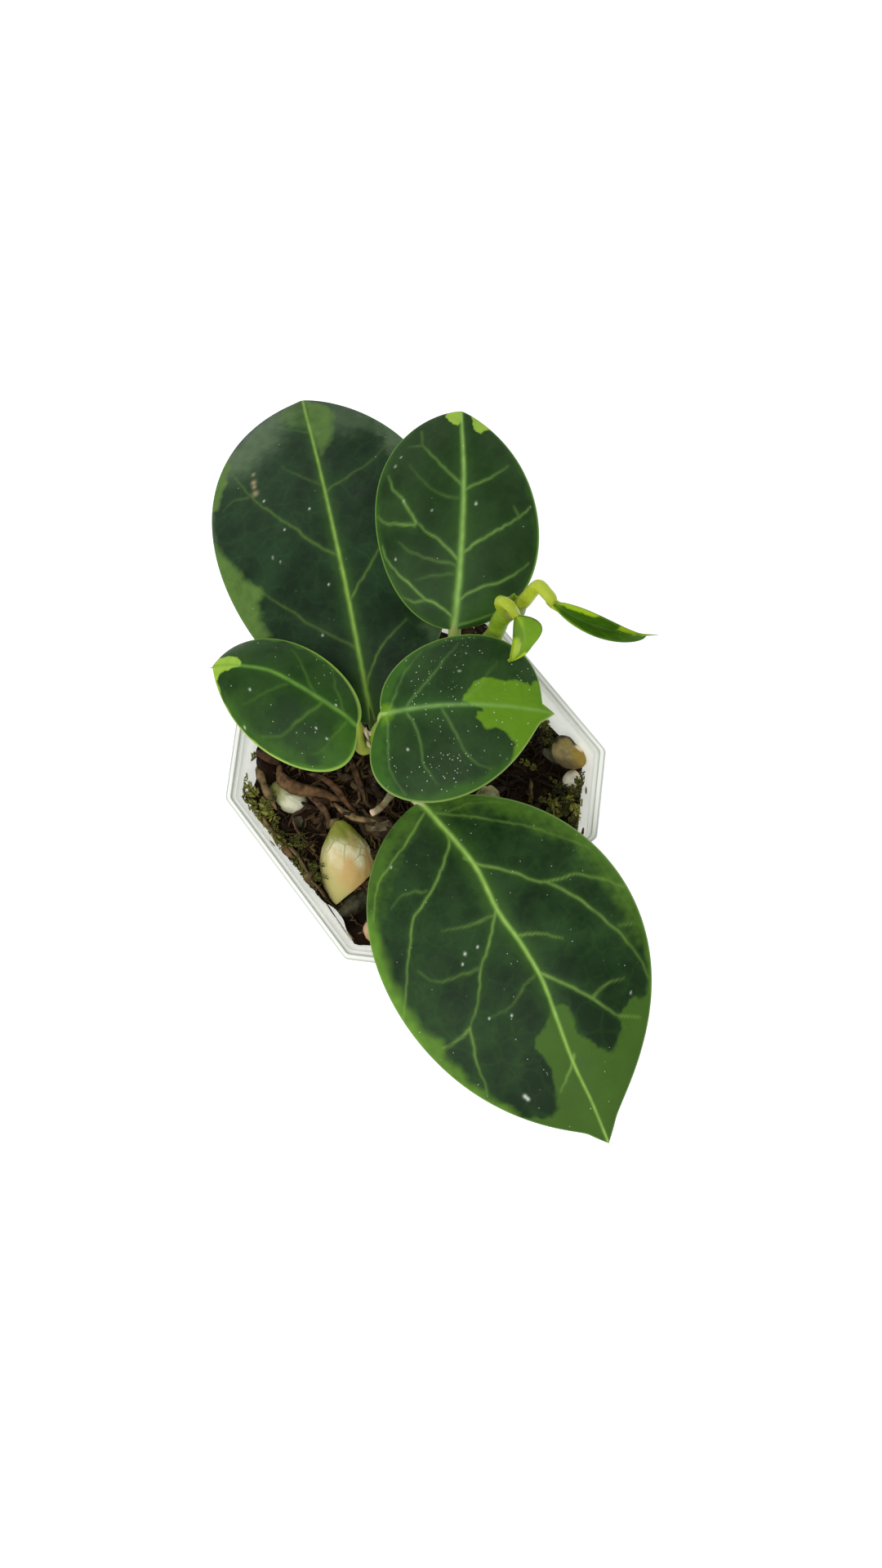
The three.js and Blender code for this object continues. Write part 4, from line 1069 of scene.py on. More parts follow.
LEAVES = {
    "leaf_back_left": dict(
        base=(0.5, 12.4, 6), heading=65.4, pitch=-5.7, length=80, arch=6.5, sweep=1.7,
        left=side(27.4, 0.68, 0.47, -1.3), right=side(24.5, 0.76, 0.72, 4.1),
        body=1, tip=0.6, keel=1.2, droop=4, roll=0, petiole=[(-2.3, 6.6, 3), (-1, 9.4, 4.6)],
    ),
    "leaf_front": dict(
        base=(-2, -7, 6), heading=-99.1, pitch=0.7, length=77, arch=6, sweep=-4.4,
        left=side(23.2, 0.94, 0.92, 10), right=side(28.1, 0.64, 0.78, 2.5),
        body=0.96, tip=3, keel=1.5, droop=4.5, roll=0, petiole=[(-2.3, 6.6, 3), (-2.6, 0.5, 5)],
    ),
    "leaf_back_right": dict(
        base=(25.2, 13, 20), heading=48.9, pitch=6.6, length=43.6, arch=3.5, sweep=1.6,
        left=side(17.8, 0.58, 0.51, 1.7), right=side(14.8, 0.4, 0.73, -1.6),
        body=1, tip=3, keel=1, droop=3.5, roll=0, petiole=[(21.2, 8.7, 16), (23, 10.8, 17.8)],
    ),
    "leaf_left_small": dict(
        base=(-1.9, 10.3, 19), heading=118.5, pitch=-3.3, length=34.4, arch=3, sweep=3.4,
        left=side(15.5, 0.7, 0.91, 10), right=side(8, 0.69, 0.36, 6.9),
        body=0.98, tip=0.44, keel=0.5, droop=4, roll=0, petiole=[
            (-1, 6.8, 13.4), (-3.9, 6.9, 15.3), (-3.4, 8.6, 17.3)
        ],
    ),
    "leaf_centre": dict(
        base=(3.5, 7.5, 24), heading=-40.2, pitch=3.4, length=33.7, arch=3, sweep=-1.1,
        left=side(14.4, 0.63, 0.43, 6.5), right=side(18.3, 0.62, 0.81, 10),
        body=0.93, tip=1.87, keel=0.8, droop=3, roll=0, petiole=[(0.2, 6.9, 16), (2.2, 6.4, 20.3)],
    ),
    "young_leaf_hanging": dict(
        base=(34, 1.7, 39), heading=-149, pitch=-54, length=11.1, arch=1.2, sweep=-1.6,
        left=side(3.6, 0.35, 1.4, 0), right=side(2.9, 0.61, 0.44, 0),
        body=0.83, tip=3, keel=1.5, droop=0.2, roll=-45,
        petiole=[(34.5, 5.8, 31), (33.4, 5.9, 36.3), (33.5, 5.2, 40.2), (33.9, 3.2, 41.6)],
    ),
    "young_leaf_pointed": dict(
        base=(40, -1.2, 41.5), heading=-56.4, pitch=-5.9, length=19.6, arch=1.2, sweep=1.6,
        left=side(2.3, 0.86, 1.33, 0), right=side(1.6, 0.59, 0.4, 0),
        body=0.9, tip=0.87, keel=3.2, droop=0.2, roll=20,
        petiole=[
            (36.9, 3.9, 35.6), (37.7, 3.3, 38), (39.1, 2.9, 41), (40, 2.2, 42.8), (40.1, -0.6, 43)
        ],
    ),
}
print("leaves:", len(LEAVES))


# %% [markdown]
# These functions turn u and v into a point: how wide the blade is at u, where a point lies on the
# flattened leaf in millimetres, how high it stands over the leaf's base plane, and which way the
# whole leaf faces. Veins and patches are drawn on the flattened leaf, where distances are true.

# %% Leaves: from u and v to a point
def outline(part, leaf, u):
    """Share of the full half width: the oval u^p (1-u)^q scaled to a peak of 1, with a narrow
    pointed tip blended in by the cube root of a sum of cubes."""
    p, q = part["baseward"], part["tipward"]
    x = np.clip(u / leaf["body"], 0, 1)
    peak = p / (p + q)
    oval = x**p * (1 - x) ** q / (peak**p * (1 - peak) ** q)
    return np.cbrt(oval**3 + (leaf["tip"] * u * u * (1 - u)) ** 3)


def of_side(leaf, v, key):
    return np.where(v < 0, leaf["left"][key], leaf["right"][key])


def width_share(leaf, u, v):
    return np.where(v < 0, outline(leaf["left"], leaf, u), outline(leaf["right"], leaf, u))


def flat_place(leaf, u, v):
    """Where (u, v) lies on the flattened leaf, in mm: forward of the base and right of its line."""
    inside = np.clip(u, 0, 1)
    share = width_share(leaf, inside, v)
    forward = leaf["length"] * u - of_side(leaf, v, "lobe") * v * v * share * (1 - inside) ** 2
    sideways = leaf["sweep"] * 4 * inside * (1 - inside) + v * share * of_side(leaf, v, "width")
    return forward, sideways


def leaf_height(leaf, u, v):
    """Height over the leaf's base plane: arched along, keeled and drooping across."""
    share = width_share(leaf, u, v)
    return leaf["arch"] * 4 * u * (1 - u) + (leaf["keel"] * np.abs(v) - leaf["droop"] * v * v) * share


def leaf_axes(leaf):
    """The leaf's own forward, right and up, from its heading, pitch and roll."""
    heading, pitch, roll = (math.radians(leaf[key]) for key in ("heading", "pitch", "roll"))
    forward = np.array(
        [math.cos(heading) * math.cos(pitch), math.sin(heading) * math.cos(pitch), math.sin(pitch)]
    )
    level = np.array([math.sin(heading), -math.cos(heading), 0])
    upright = np.cross(level, forward)
    right = level * math.cos(roll) - upright * math.sin(roll)
    return forward, right, upright * math.cos(roll) + level * math.sin(roll)


def leaf_point(leaf, u, v, raised=0.0):
    forward, sideways = flat_place(leaf, u, v)
    ahead, right, up = leaf_axes(leaf)
    height = leaf_height(leaf, u, v) + raised
    moved = forward[..., None] * ahead + sideways[..., None] * right + height[..., None] * up
    return above_pot(leaf["base"]) + moved


print("tip of the front leaf:", leaf_point(LEAVES["leaf_front"], np.array(1.0), np.array(0.0)).round(1))

# %% [markdown]
# The veins of a hoya leaf are pale lines sunk a little into its face: a strong midrib, laterals
# that leave it in turn and bend towards the tip, and loops that join them near the margin. Each is
# a strength and a short list of (u, v) points, as it runs in the photograph. A vein's streak is
# its strength on its line, falling as a bell with the distance on the flattened leaf.

# %% Leaves: where the veins run
STRAIGHT = [(0, 0), (0.25, 0), (0.5, 0), (0.75, 0), (1, 0)]
MIDRIBS = {
    "leaf_front": [
        (0, 0), (0.06, -0.03), (0.23, -0.04), (0.37, 0.02), (0.46, 0), (0.57, -0.01), (0.66, 0.02),
        (0.79, 0.06),
        (0.89, 0.05), (1, 0),
    ],
    "leaf_left_small": [
        (0, 0), (0.09, 0), (0.24, -0.03), (0.4, -0.02), (0.6, 0.04), (0.81, 0.03), (0.89, 0.05), (1, 0)
    ],
}
# Each midrib's half width in mm at base and tip, and its strength there
RIBS = {
    "leaf_back_left": (0.52, 0.26, 1.0, 0.6),
    "leaf_front": (0.55, 0.24, 1.0, 0.8),
    "leaf_back_right": (0.7, 0.32, 1.0, 0.8),
    "leaf_left_small": (0.44, 0.3, 0.75, 0.7),
    "leaf_centre": (0.5, 0.3, 0.85, 0.45),
}
LATERAL_WIDTH = 0.31
VEINS = {
    "leaf_back_left": [
        (
            0.24,
            [
                (0.45, 0), (0.49, -0.14), (0.57, -0.31), (0.63, -0.45), (0.69, -0.58), (0.74, -0.68),
                (0.81, -0.83)
            ]
        ),
        (0.12, [(0.71, -0.65), (0.72, -0.79), (0.70, -0.89)]),
        (0.20, [(0.19, 0), (0.25, -0.28), (0.29, -0.43), (0.34, -0.54), (0.39, -0.67), (0.45, -0.78)]),
        (0.12, [(0.67, 0), (0.72, -0.17), (0.77, -0.32)]),
        (0.10, [(0.86, 0), (0.90, -0.27), (0.93, -0.49)]),
        (0.16, [(0.65, 0), (0.68, 0.27), (0.71, 0.52), (0.75, 0.74)]),
        (0.30, [(0.32, 0), (0.37, 0.16), (0.42, 0.30), (0.48, 0.48)]),
        (0.32, [(0.08, 0), (0.12, 0.10), (0.18, 0.29), (0.22, 0.49), (0.24, 0.58)]),
    ],
    "leaf_front": [
        (0.24, [(0.03, 0), (0.05, -0.17), (0.12, -0.53), (0.23, -0.75), (0.33, -0.88), (0.38, -0.95)]),
        (0.16, [(0.04, 0), (0.07, -0.38), (0.10, -0.78), (0.17, -0.94)]),
        (
            0.46,
            [
                (0.2, 0), (0.23, -0.07), (0.29, -0.27), (0.37, -0.47), (0.40, -0.70), (0.45, -0.85),
                (0.50, -0.98)
            ]
        ),
        (
            0.40,
            [
                (0.37, -0.47), (0.41, -0.54), (0.46, -0.61), (0.53, -0.70), (0.58, -0.78),
                (0.65, -0.88), (0.7, -0.96)
            ]
        ),
        (0.20, [(0.56, -0.79), (0.58, -0.93)]),
        (0.36, [(0.44, 0), (0.45, -0.05), (0.47, -0.19), (0.51, -0.32)]),
        (0.50, [(0.55, 0), (0.56, -0.04), (0.60, -0.15), (0.67, -0.35), (0.73, -0.54), (0.77, -0.86)]),
        (0.30, [(0.67, -0.35), (0.66, -0.51), (0.67, -0.70)]),
        (
            0.40,
            [
                (0.03, 0), (0.04, 0.15), (0.07, 0.41), (0.10, 0.60), (0.13, 0.78), (0.16, 0.88),
                (0.24, 0.94)
            ]
        ),
        (
            0.44,
            [
                (0.12, 0), (0.14, 0.02), (0.20, 0.24), (0.25, 0.45), (0.28, 0.60), (0.35, 0.72),
                (0.44, 0.88), (0.5, 1)
            ]
        ),
        (0.18, [(0.23, 0.42), (0.21, 0.63), (0.23, 0.76)]),
        (0.42, [(0.35, 0), (0.37, 0.05), (0.43, 0.20), (0.47, 0.32), (0.54, 0.46), (0.59, 0.62)]),
        (0.40, [(0.59, 0.62), (0.60, 0.73), (0.60, 0.88)]),
        (0.34, [(0.59, 0.62), (0.67, 0.75), (0.75, 0.91)]),
        (0.26, [(0.37, 0.07), (0.36, 0.27), (0.34, 0.44)]),
        (0.20, [(0.47, 0.33), (0.46, 0.51), (0.45, 0.64), (0.40, 0.73)]),
        (0.16, [(0.55, 0), (0.56, 0.11), (0.59, 0.28), (0.59, 0.46)]),
        (0.40, [(0.77, 0.02), (0.79, 0.09), (0.83, 0.35)]),
    ],
    "leaf_back_right": [
        (0.36, [(0.62, 0), (0.65, -0.05), (0.71, -0.21), (0.77, -0.37), (0.83, -0.57), (0.90, -0.73)]),
        (0.16, [(0.83, -0.57), (0.83, -0.78)]),
        (0.16, [(0.57, 0), (0.60, -0.27), (0.67, -0.49), (0.74, -0.65)]),
        (0.62, [(0.27, 0), (0.30, -0.04), (0.37, -0.22), (0.42, -0.38), (0.47, -0.52)]),
        (0.56, [(0.47, -0.52), (0.57, -0.66), (0.64, -0.81), (0.70, -0.89)]),
        (0.50, [(0.46, -0.53), (0.47, -0.72), (0.48, -0.88), (0.52, -0.97)]),
        (0.26, [(0.26, 0), (0.28, -0.08), (0.31, -0.44), (0.35, -0.63), (0.39, -0.75)]),
        (
            0.60,
            [
                (0.03, 0), (0.06, -0.12), (0.11, -0.39), (0.13, -0.58), (0.20, -0.73), (0.31, -0.92),
                (0.38, -0.95)
            ]
        ),
        (0.34, [(0.13, -0.58), (0.13, -0.81), (0.16, -0.95)]),
        (0.16, [(0.24, 0), (0.23, -0.38), (0.22, -0.63)]),
        (0.42, [(0.60, 0), (0.62, 0.05), (0.65, 0.29), (0.69, 0.54), (0.73, 0.77)]),
        (0.58, [(0.32, 0), (0.34, 0.06), (0.39, 0.27), (0.44, 0.53), (0.49, 0.75), (0.54, 0.92)]),
        (0.30, [(0.49, 0.75), (0.54, 0.70)]),
        (0.52, [(0.12, 0), (0.14, 0.08), (0.18, 0.30), (0.20, 0.57), (0.24, 0.79), (0.28, 0.91)]),
        (0.40, [(0.01, 0), (0.02, 0.17), (0.04, 0.58), (0.06, 0.79)]),
    ],
    "leaf_left_small": [
        (
            0.40,
            [
                (0.22, -0.03), (0.24, -0.14), (0.29, -0.30), (0.34, -0.46), (0.38, -0.59),
                (0.44, -0.72), (0.54, -0.84)
            ]
        ),
        (0.20, [(0.44, 0), (0.46, -0.07), (0.55, -0.24), (0.61, -0.41), (0.69, -0.64)]),
        (0.20, [(0.06, 0), (0.08, -0.30), (0.14, -0.54), (0.19, -0.71), (0.27, -0.82)]),
        (0.20, [(0.28, 0), (0.30, 0.04), (0.38, 0.31), (0.49, 0.63), (0.57, 0.77)]),
        (0.24, [(0.08, 0), (0.12, 0.28), (0.21, 0.56), (0.32, 0.88)]),
    ],
    "leaf_centre": [
        (0.26, [(0.02, 0), (0.06, -0.20), (0.13, -0.59), (0.20, -0.77), (0.30, -0.92)]),
        (0.32, [(0.15, 0), (0.17, -0.08), (0.25, -0.31), (0.32, -0.46), (0.42, -0.70), (0.48, -0.84)]),
        (0.20, [(0.50, -0.06), (0.56, -0.18), (0.61, -0.33), (0.68, -0.60)]),
        (0.30, [(0.02, 0), (0.04, 0.16), (0.09, 0.51), (0.16, 0.76), (0.23, 0.87), (0.30, 0.95)]),
        (0.34, [(0.15, 0), (0.17, 0.05), (0.24, 0.26), (0.29, 0.46), (0.34, 0.64), (0.42, 0.81)]),
        (0.30, [(0.37, 0), (0.39, 0.07), (0.46, 0.27), (0.52, 0.47), (0.60, 0.68), (0.67, 0.84)]),
    ],
}


def gaps_to(x, y, line):
    """Distances from points (x, y) to every step of a line, on a new last axis."""
    a, b = line[:-1], line[1:]
    step = b - a
    back_x, back_y = x[..., None] - a[:, 0], y[..., None] - a[:, 1]
    squared = np.maximum((step**2).sum(axis=1), 1e-9)
    share = np.clip((back_x * step[:, 0] + back_y * step[:, 1]) / squared, 0, 1)
    return np.hypot(back_x - share * step[:, 0], back_y - share * step[:, 1])


def streak(x, y, line, wide, strength):
    """A soft streak: its strength on the line, times the bell exp(-(distance / wide)^2) beside it."""
    return (strength[:-1] * np.exp(-((gaps_to(x, y, line) / wide[:-1]) ** 2))).max(axis=-1)


def line_on_leaf(leaf, points, count):
    """A smooth line on the flattened leaf through (u, v) points."""
    uv = np.array(points, float)
    forward, sideways = flat_place(leaf, uv[:, 0], uv[:, 1])
    return smooth_path(np.stack([forward, sideways, 0 * forward], axis=1), count)


def vein_fields(leaf, midrib, rib, laterals, x, y, lateral=LATERAL_WIDTH):
    """The veins themselves, and the wide green glow beside them, both from 0 to 1."""
    path = line_on_leaf(leaf, midrib, 60)
    t = np.linspace(0, 1, 60)
    base, tip, bright, faint = rib
    wide = base + (tip - base) * t
    vein = streak(x, y, path[:, :2], wide, bright + (faint - bright) * t)
    glow = streak(x, y, path[:, :2], 4.6 * wide, 0.85 * (1 - 0.5 * t))
    for k, (strength, points) in enumerate(laterals):
        path = line_on_leaf(leaf, points, 40)
        path = path[:, :2] + 0.14 * np.stack(
            [waves(path, 2.4, 500 + k), waves(path, 2.4, 600 + k)], axis=1
        )
        t = np.linspace(0, 1, 40)
        wide = lateral * (1 - 0.35 * t)
        vein = np.maximum(vein, streak(x, y, path, wide, strength * (1 - 0.55 * t * t)))
        glow = np.maximum(glow, streak(x, y, path, 3.6 * wide, 0.8 * strength * (1 - 0.5 * t)))
    return vein, glow


print("veins:", {name: len(veins) for name, veins in VEINS.items()})

# %% [markdown]
# The leaves are variegated: patches of lime or olive where the leaf holds little chlorophyll, soft
# paler haze towards the margins, and darker islands. On the back left leaf the wide grey haze near
# the tip is a painted sheen. A patch is a polygon of (u, v) corners. It has a field that it belongs
# to, a strength, a softness and a raggedness in mm.

# %% Leaves: where the patches lie
PATCHES = {
    "leaf_back_left": [
        ("patch", 0.8, 1.2, 0.35, [
            (1.03, 0.1), (1.03, 0.8), (0.97, 0.65), (0.93, 0.62), (0.88, 0.41), (0.83, 0.28),
            (0.80, 0.17), (0.77, 0.05),
            (0.81, 0.02), (0.88, -0.02), (0.96, 0.0),
        ]),
        (
            "patch", 0.5, 1.6, 0.6,
            [(0.93, -0.35), (0.99, -0.7), (1.03, -0.3), (1.03, 0.3), (0.93, 0.1), (0.87, -0.02)]
        ),
        # The two hazes near the tip paint a sheen: wide and soft on the left, weaker on the right
        (
            "haze", 0.75, 4.0, 1.2,
            [(0.8, -0.95), (0.8, -0.6), (0.87, -0.35), (0.96, -0.3), (1.0, -0.9), (0.9, -1.2)]
        ),
        ("haze", 0.4, 3.0, 1.2, [(0.84, 0.25), (0.82, 0.9), (0.93, 1.1), (1.0, 0.7), (0.96, 0.4)]),
        (
            "patch", 0.8, 0.8, 0.4,
            [(0.92, -1.1), (0.85, -0.90), (0.79, -0.89), (0.74, -0.92), (0.71, -0.94), (0.70, -1.1)]
        ),
        ("patch", 0.85, 1.3, 0.4, [
            (0.66, -1.1), (0.60, -0.97), (0.56, -0.92), (0.52, -0.86), (0.47, -0.81), (0.44, -0.75),
            (0.41, -0.69),
            (0.39, -0.79), (0.36, -0.78), (0.34, -0.86), (0.29, -0.81), (0.26, -1.1),
        ]),
        (
            "haze", 0.6, 1.8, 1.4,
            [(0.88, 0.85), (0.79, 0.85), (0.76, 0.72), (0.72, 0.75), (0.66, 1.1), (0.88, 1.1)]
        ),
        ("haze", 0.5, 2.0, 1.5, [(0.12, 0.95), (0.21, 0.80), (0.30, 0.85), (0.28, 1.1), (0.10, 1.1)]),
    ],
    "leaf_front": [
        ("patch", 1.0, 0.45, 0.45, [
            (0.64, 0.01), (0.65, -0.06), (0.66, -0.12), (0.69, -0.12), (0.72, -0.12), (0.75, -0.16),
            (0.78, -0.29),
            (0.80, -0.45), (0.79, -0.55), (0.77, -0.58), (0.74, -0.58), (0.73, -0.64), (0.72, -0.73),
            (0.73, -0.83),
            (0.74, -0.96), (0.74, -1.2), (1.04, -0.8), (1.04, 0.8), (0.96, 1.2), (0.86, 1.2),
            (0.86, 0.90),
            (0.87, 0.80), (0.87, 0.66), (0.84, 0.47), (0.81, 0.37), (0.77, 0.29), (0.74, 0.28),
            (0.71, 0.29),
            (0.69, 0.24), (0.67, 0.12), (0.65, 0.05),
        ]),
        ("islands", 0.9, 0.8, 0.5, [
            (0.71, 0.40), (0.71, 0.31), (0.74, 0.28), (0.78, 0.30), (0.83, 0.42), (0.86, 0.55),
            (0.87, 0.72),
            (0.85, 0.79), (0.81, 0.74), (0.77, 0.60),
        ]),
        ("islands", 0.9, 0.8, 0.5, [
            (0.62, -0.14), (0.65, -0.27), (0.69, -0.39), (0.73, -0.51), (0.77, -0.57), (0.80, -0.54),
            (0.80, -0.41),
            (0.76, -0.21), (0.72, -0.14), (0.68, -0.13),
        ]),
        (
            "islands", 0.7, 0.7, 0.5,
            [(0.66, -0.49), (0.67, -0.62), (0.71, -0.67), (0.73, -0.62), (0.73, -0.51), (0.69, -0.42)]
        ),
        (
            "islands", 0.7, 0.7, 0.5,
            [(0.64, -0.74), (0.65, -0.86), (0.69, -0.95), (0.73, -0.93), (0.73, -0.85), (0.70, -0.76)]
        ),
        ("haze", 0.7, 1.1, 0.5, [
            (0.50, 1.1), (0.56, 0.87), (0.60, 0.86), (0.63, 0.92), (0.67, 0.90), (0.71, 0.93),
            (0.76, 0.93),
            (0.81, 0.93), (0.87, 1.1),
        ]),
        (
            "haze", 0.45, 2.4, 1.4,
            [(-0.02, 1.1), (0.0, 0.3), (0.04, 0.3), (0.10, 0.70), (0.22, 0.9), (0.3, 1.1)]
        ),
        ("haze", 0.5, 2.6, 1.4, [
            (0.02, -1.1), (0.04, -0.5), (0.14, -0.8), (0.30, -0.86), (0.46, -0.86), (0.60, -0.9),
            (0.64, -1.1),
        ]),
    ],
    "leaf_back_right": [
        (
            "patch", 1.0, 0.25, 0.3,
            [(1.04, 0.1), (1.04, -1.0), (0.99, -0.75), (0.94, -0.22), (0.92, -0.08), (0.95, 0.01)]
        ),
        (
            "patch", 1.0, 0.25, 0.3,
            [
                (0.99, 0.85), (0.93, 0.48), (0.89, 0.39), (0.88, 0.52), (0.90, 0.69), (0.91, 1.1),
                (0.98, 1.1)
            ]
        ),
        (
            "haze", 0.3, 1.8, 0.8,
            [(-0.02, 0.1), (0.10, 0.1), (0.16, 0.5), (0.10, 0.9), (0.02, 1.1), (-0.02, 1.1)]
        ),
        ("haze", 0.15, 1.4, 0.8, [(0.0, -0.3), (0.06, -0.75), (0.22, -0.92), (0.3, -1.1), (0.0, -1.1)]),
    ],
    "leaf_left_small": [
        ("patch", 1.0, 0.3, 0.3, [
            (1.04, 0.2), (0.99, 0.66), (0.92, 0.36), (0.84, 0.27), (0.79, 0.13), (0.79, 0.02),
            (0.84, -0.08), (0.88, -0.18),
            (0.91, -0.42), (0.91, -0.72), (0.93, -1.2), (1.04, -0.9),
        ]),
        ("patch", 0.7, 0.3, 0.2, [
            (0.93, -1.2), (0.91, -0.8), (0.83, -0.93), (0.76, -0.96), (0.58, -0.97), (0.40, -0.98),
            (0.40, -1.2),
        ]),
        (
            "haze", 0.35, 1.2, 0.7,
            [
                (0.3, -0.8), (0.42, -0.8), (0.56, -0.8), (0.7, -0.8), (0.86, -0.7), (0.8, -1.1),
                (0.3, -1.1)
            ]
        ),
        (
            "haze", 0.4, 1.5, 0.7,
            [(-0.02, -1.1), (0.0, -0.4), (0.06, -0.1), (0.12, -0.5), (0.22, -0.9), (0.2, -1.1)]
        ),
    ],
    "leaf_centre": [
        ("patch", 1.0, 0.4, 0.35, [
            (0.49, -0.12), (0.52, -0.20), (0.56, -0.31), (0.61, -0.37), (0.68, -0.39), (0.73, -0.39),
            (0.80, -0.45),
            (0.83, -0.46), (0.87, -0.52), (0.90, -0.9), (0.92, -1.2), (1.04, -0.6), (1.04, 0.8),
            (0.93, 1.2), (0.77, 1.2),
            (0.78, 0.90), (0.79, 0.72), (0.77, 0.55), (0.73, 0.38), (0.69, 0.31), (0.65, 0.30),
            (0.61, 0.24),
            (0.57, 0.14), (0.58, 0.08), (0.62, 0.08), (0.61, 0.03), (0.56, 0.0), (0.50, -0.05),
        ]),
        (
            "patch", 0.9, 1.0, 0.3,
            [
                (-0.03, -0.6), (0.02, -0.7), (0.07, -0.2), (0.1, 0.0), (0.06, 0.2), (0.02, 0.5),
                (-0.03, 0.5)
            ]
        ),
        (
            "haze", 0.7, 1.2, 0.8,
            [(-0.02, -1.1), (0.0, -0.3), (0.05, -0.3), (0.13, -0.72), (0.22, -0.88), (0.30, -1.1)]
        ),
        (
            "haze", 0.75, 1.3, 0.8,
            [(-0.02, 1.1), (0.0, 0.3), (0.05, 0.35), (0.12, 0.74), (0.22, 0.9), (0.34, 1.1)]
        ),
        (
            "haze", 0.6, 1.0, 0.6,
            [(0.3, 1.1), (0.34, 0.93), (0.5, 0.88), (0.66, 0.86), (0.8, 0.92), (0.8, 1.1)]
        ),
    ],
}
# Paler bands along a margin: side, from u to u, reach in mm, strength
MARGIN_BANDS = {
    "leaf_back_left": [(-1, 0.0, 1.0, 1.0, 0.45), (1, 0.0, 1.0, 0.9, 0.4)],
    "leaf_front": [(1, 0.2, 0.62, 2.6, 0.9), (1, 0.6, 0.95, 0.7, 0.4), (-1, 0.1, 0.95, 1.2, 0.45)],
    "leaf_back_right": [(-1, 0.0, 0.95, 1.2, 0.4), (1, 0.0, 0.95, 1.0, 0.3)],
    "leaf_left_small": [(-1, 0.0, 0.5, 1.0, 0.8), (1, 0.3, 1.0, 0.7, 0.6)],
    "leaf_centre": [(-1, 0.0, 0.9, 1.0, 0.5), (1, 0.0, 0.8, 1.2, 0.6)],
}
# Marks that lie on a leaf: field, u, v and radius in mm
MARKS = {
    "leaf_back_left": [
        ("scar", 0.78, -0.60, 0.4), ("scar", 0.752, -0.595, 0.6), ("scar", 0.738, -0.59, 0.5),
        ("scar", 0.715, -0.58, 0.7),
        ("dots", 0.61, -0.15, 0.2), ("dots", 0.68, -0.51, 0.21), ("dots", 0.57, -0.38, 0.17),
        ("dots", 0.50, -0.53, 0.2),
        ("dots", 0.38, -0.14, 0.18), ("dots", 0.25, -0.34, 0.21), ("dots", 0.48, -0.48, 0.17),
    ],
    "leaf_front": [
        ("dots", 0.80, 0.69, 0.36), ("dots", 0.808, 0.695, 0.34), ("dots", 0.42, 0.37, 0.27),
        ("dots", 0.42, 0.27, 0.21),
        ("dots", 0.44, 0.42, 0.2), ("dots", 0.61, 0.31, 0.2), ("haze_dust", 0.64, -0.73, 0.7),
        ("haze_dust", 0.77, 0.33, 0.9),
        ("dots", 0.71, -0.75, 0.18), ("dots", 0.13, 0.72, 0.2), ("haze_dust", 0.34, 0.78, 0.8),
        ("dots", 0.59, 0.46, 0.16),
    ],
    "leaf_back_right": [
        ("dots", 0.55, 0.18, 0.23), ("dots", 0.57, -0.66, 0.17), ("dots", 0.74, -0.84, 0.18),
        ("dots", 0.52, -0.34, 0.14),
        ("dots", 0.32, -0.82, 0.17), ("dots", 0.78, -0.81, 0.14),
    ],
    "leaf_left_small": [
        ("dots", 0.67, -0.35, 0.22), ("dots", 0.65, -0.91, 0.22), ("dots", 0.23, -0.45, 0.18),
        ("dots", 0.17, -0.57, 0.18),
        ("dots", 0.15, 0.12, 0.17),
    ],
    "leaf_centre": [("dots", 0.22, 0.50, 0.21), ("dots", 0.48, -0.46, 0.18)],
}
# Where dust has settled more thickly: u, v, radius in mm, share of the grains that show
DUSTY = {
    "leaf_back_left": [],
    "leaf_front": [(0.1, 0.3, 6.0, 0.06), (0.34, 0.78, 2.0, 0.2), (0.35, -0.56, 5.0, 0.04)],
    "leaf_back_right": [],
    "leaf_left_small": [
        (0.33, 0.3, 2.5, 0.3), (0.5, -0.48, 2.2, 0.3), (0.36, 0.55, 2.5, 0.2), (0.3, -0.85, 2.0, 0.25)
    ],
    "leaf_centre": [
        (0.42, -0.16, 1.8, 0.7), (0.30, -0.42, 2.6, 0.5), (0.39, -0.68, 2.4, 0.5),
        (0.20, -0.18, 2.2, 0.35),
        (0.55, -0.91, 2.2, 0.6), (0.46, 0.64, 3.2, 0.7), (0.33, -0.02, 3.0, 0.45),
        (0.50, -0.7, 3.0, 0.3),
        (0.3, 0.75, 3.2, 0.35),
    ],
}


def patch_share(leaf, x, y, corners, soft, ragged, seed):
    """1 in the polygon and 0 outside, by the distance to its sides, with waves added to it. Sides
    are straight in u and v, so each is cut in six before it is laid on the flattened leaf."""
    uv = np.array(corners, float)
    share = np.linspace(0, 1, 6, endpoint=False)[None, :, None]
    uv = (uv[:, None] * (1 - share) + np.roll(uv, -1, axis=0)[:, None] * share).reshape(-1, 2)
    a = np.stack(flat_place(leaf, uv[:, 0], uv[:, 1]), axis=1)
    b = np.roll(a, -1, axis=0)
    gap = gaps_to(x, y, np.vstack([a, a[:1]])).min(axis=-1)
    crosses = (a[:, 1] > y[..., None]) != (b[:, 1] > y[..., None])
    rise = np.where(a[:, 1] == b[:, 1], 1e-9, b[:, 1] - a[:, 1])
    at = a[:, 0] + (y[..., None] - a[:, 1]) / rise * (b[:, 0] - a[:, 0])
    odd = (crosses & (x[..., None] < at)).sum(axis=-1) % 2 == 1
    plane = np.stack([x, y, 0 * x], axis=-1)
    signed = np.where(odd, gap, -gap) + ragged * (
        0.6 * waves(plane, 3.5, seed) + 0.4 * waves(plane, 1.3, seed + 1)
    )
    return smoothstep(-soft, soft, signed)


print("patches:", {name: len(patches) for name, patches in PATCHES.items()})
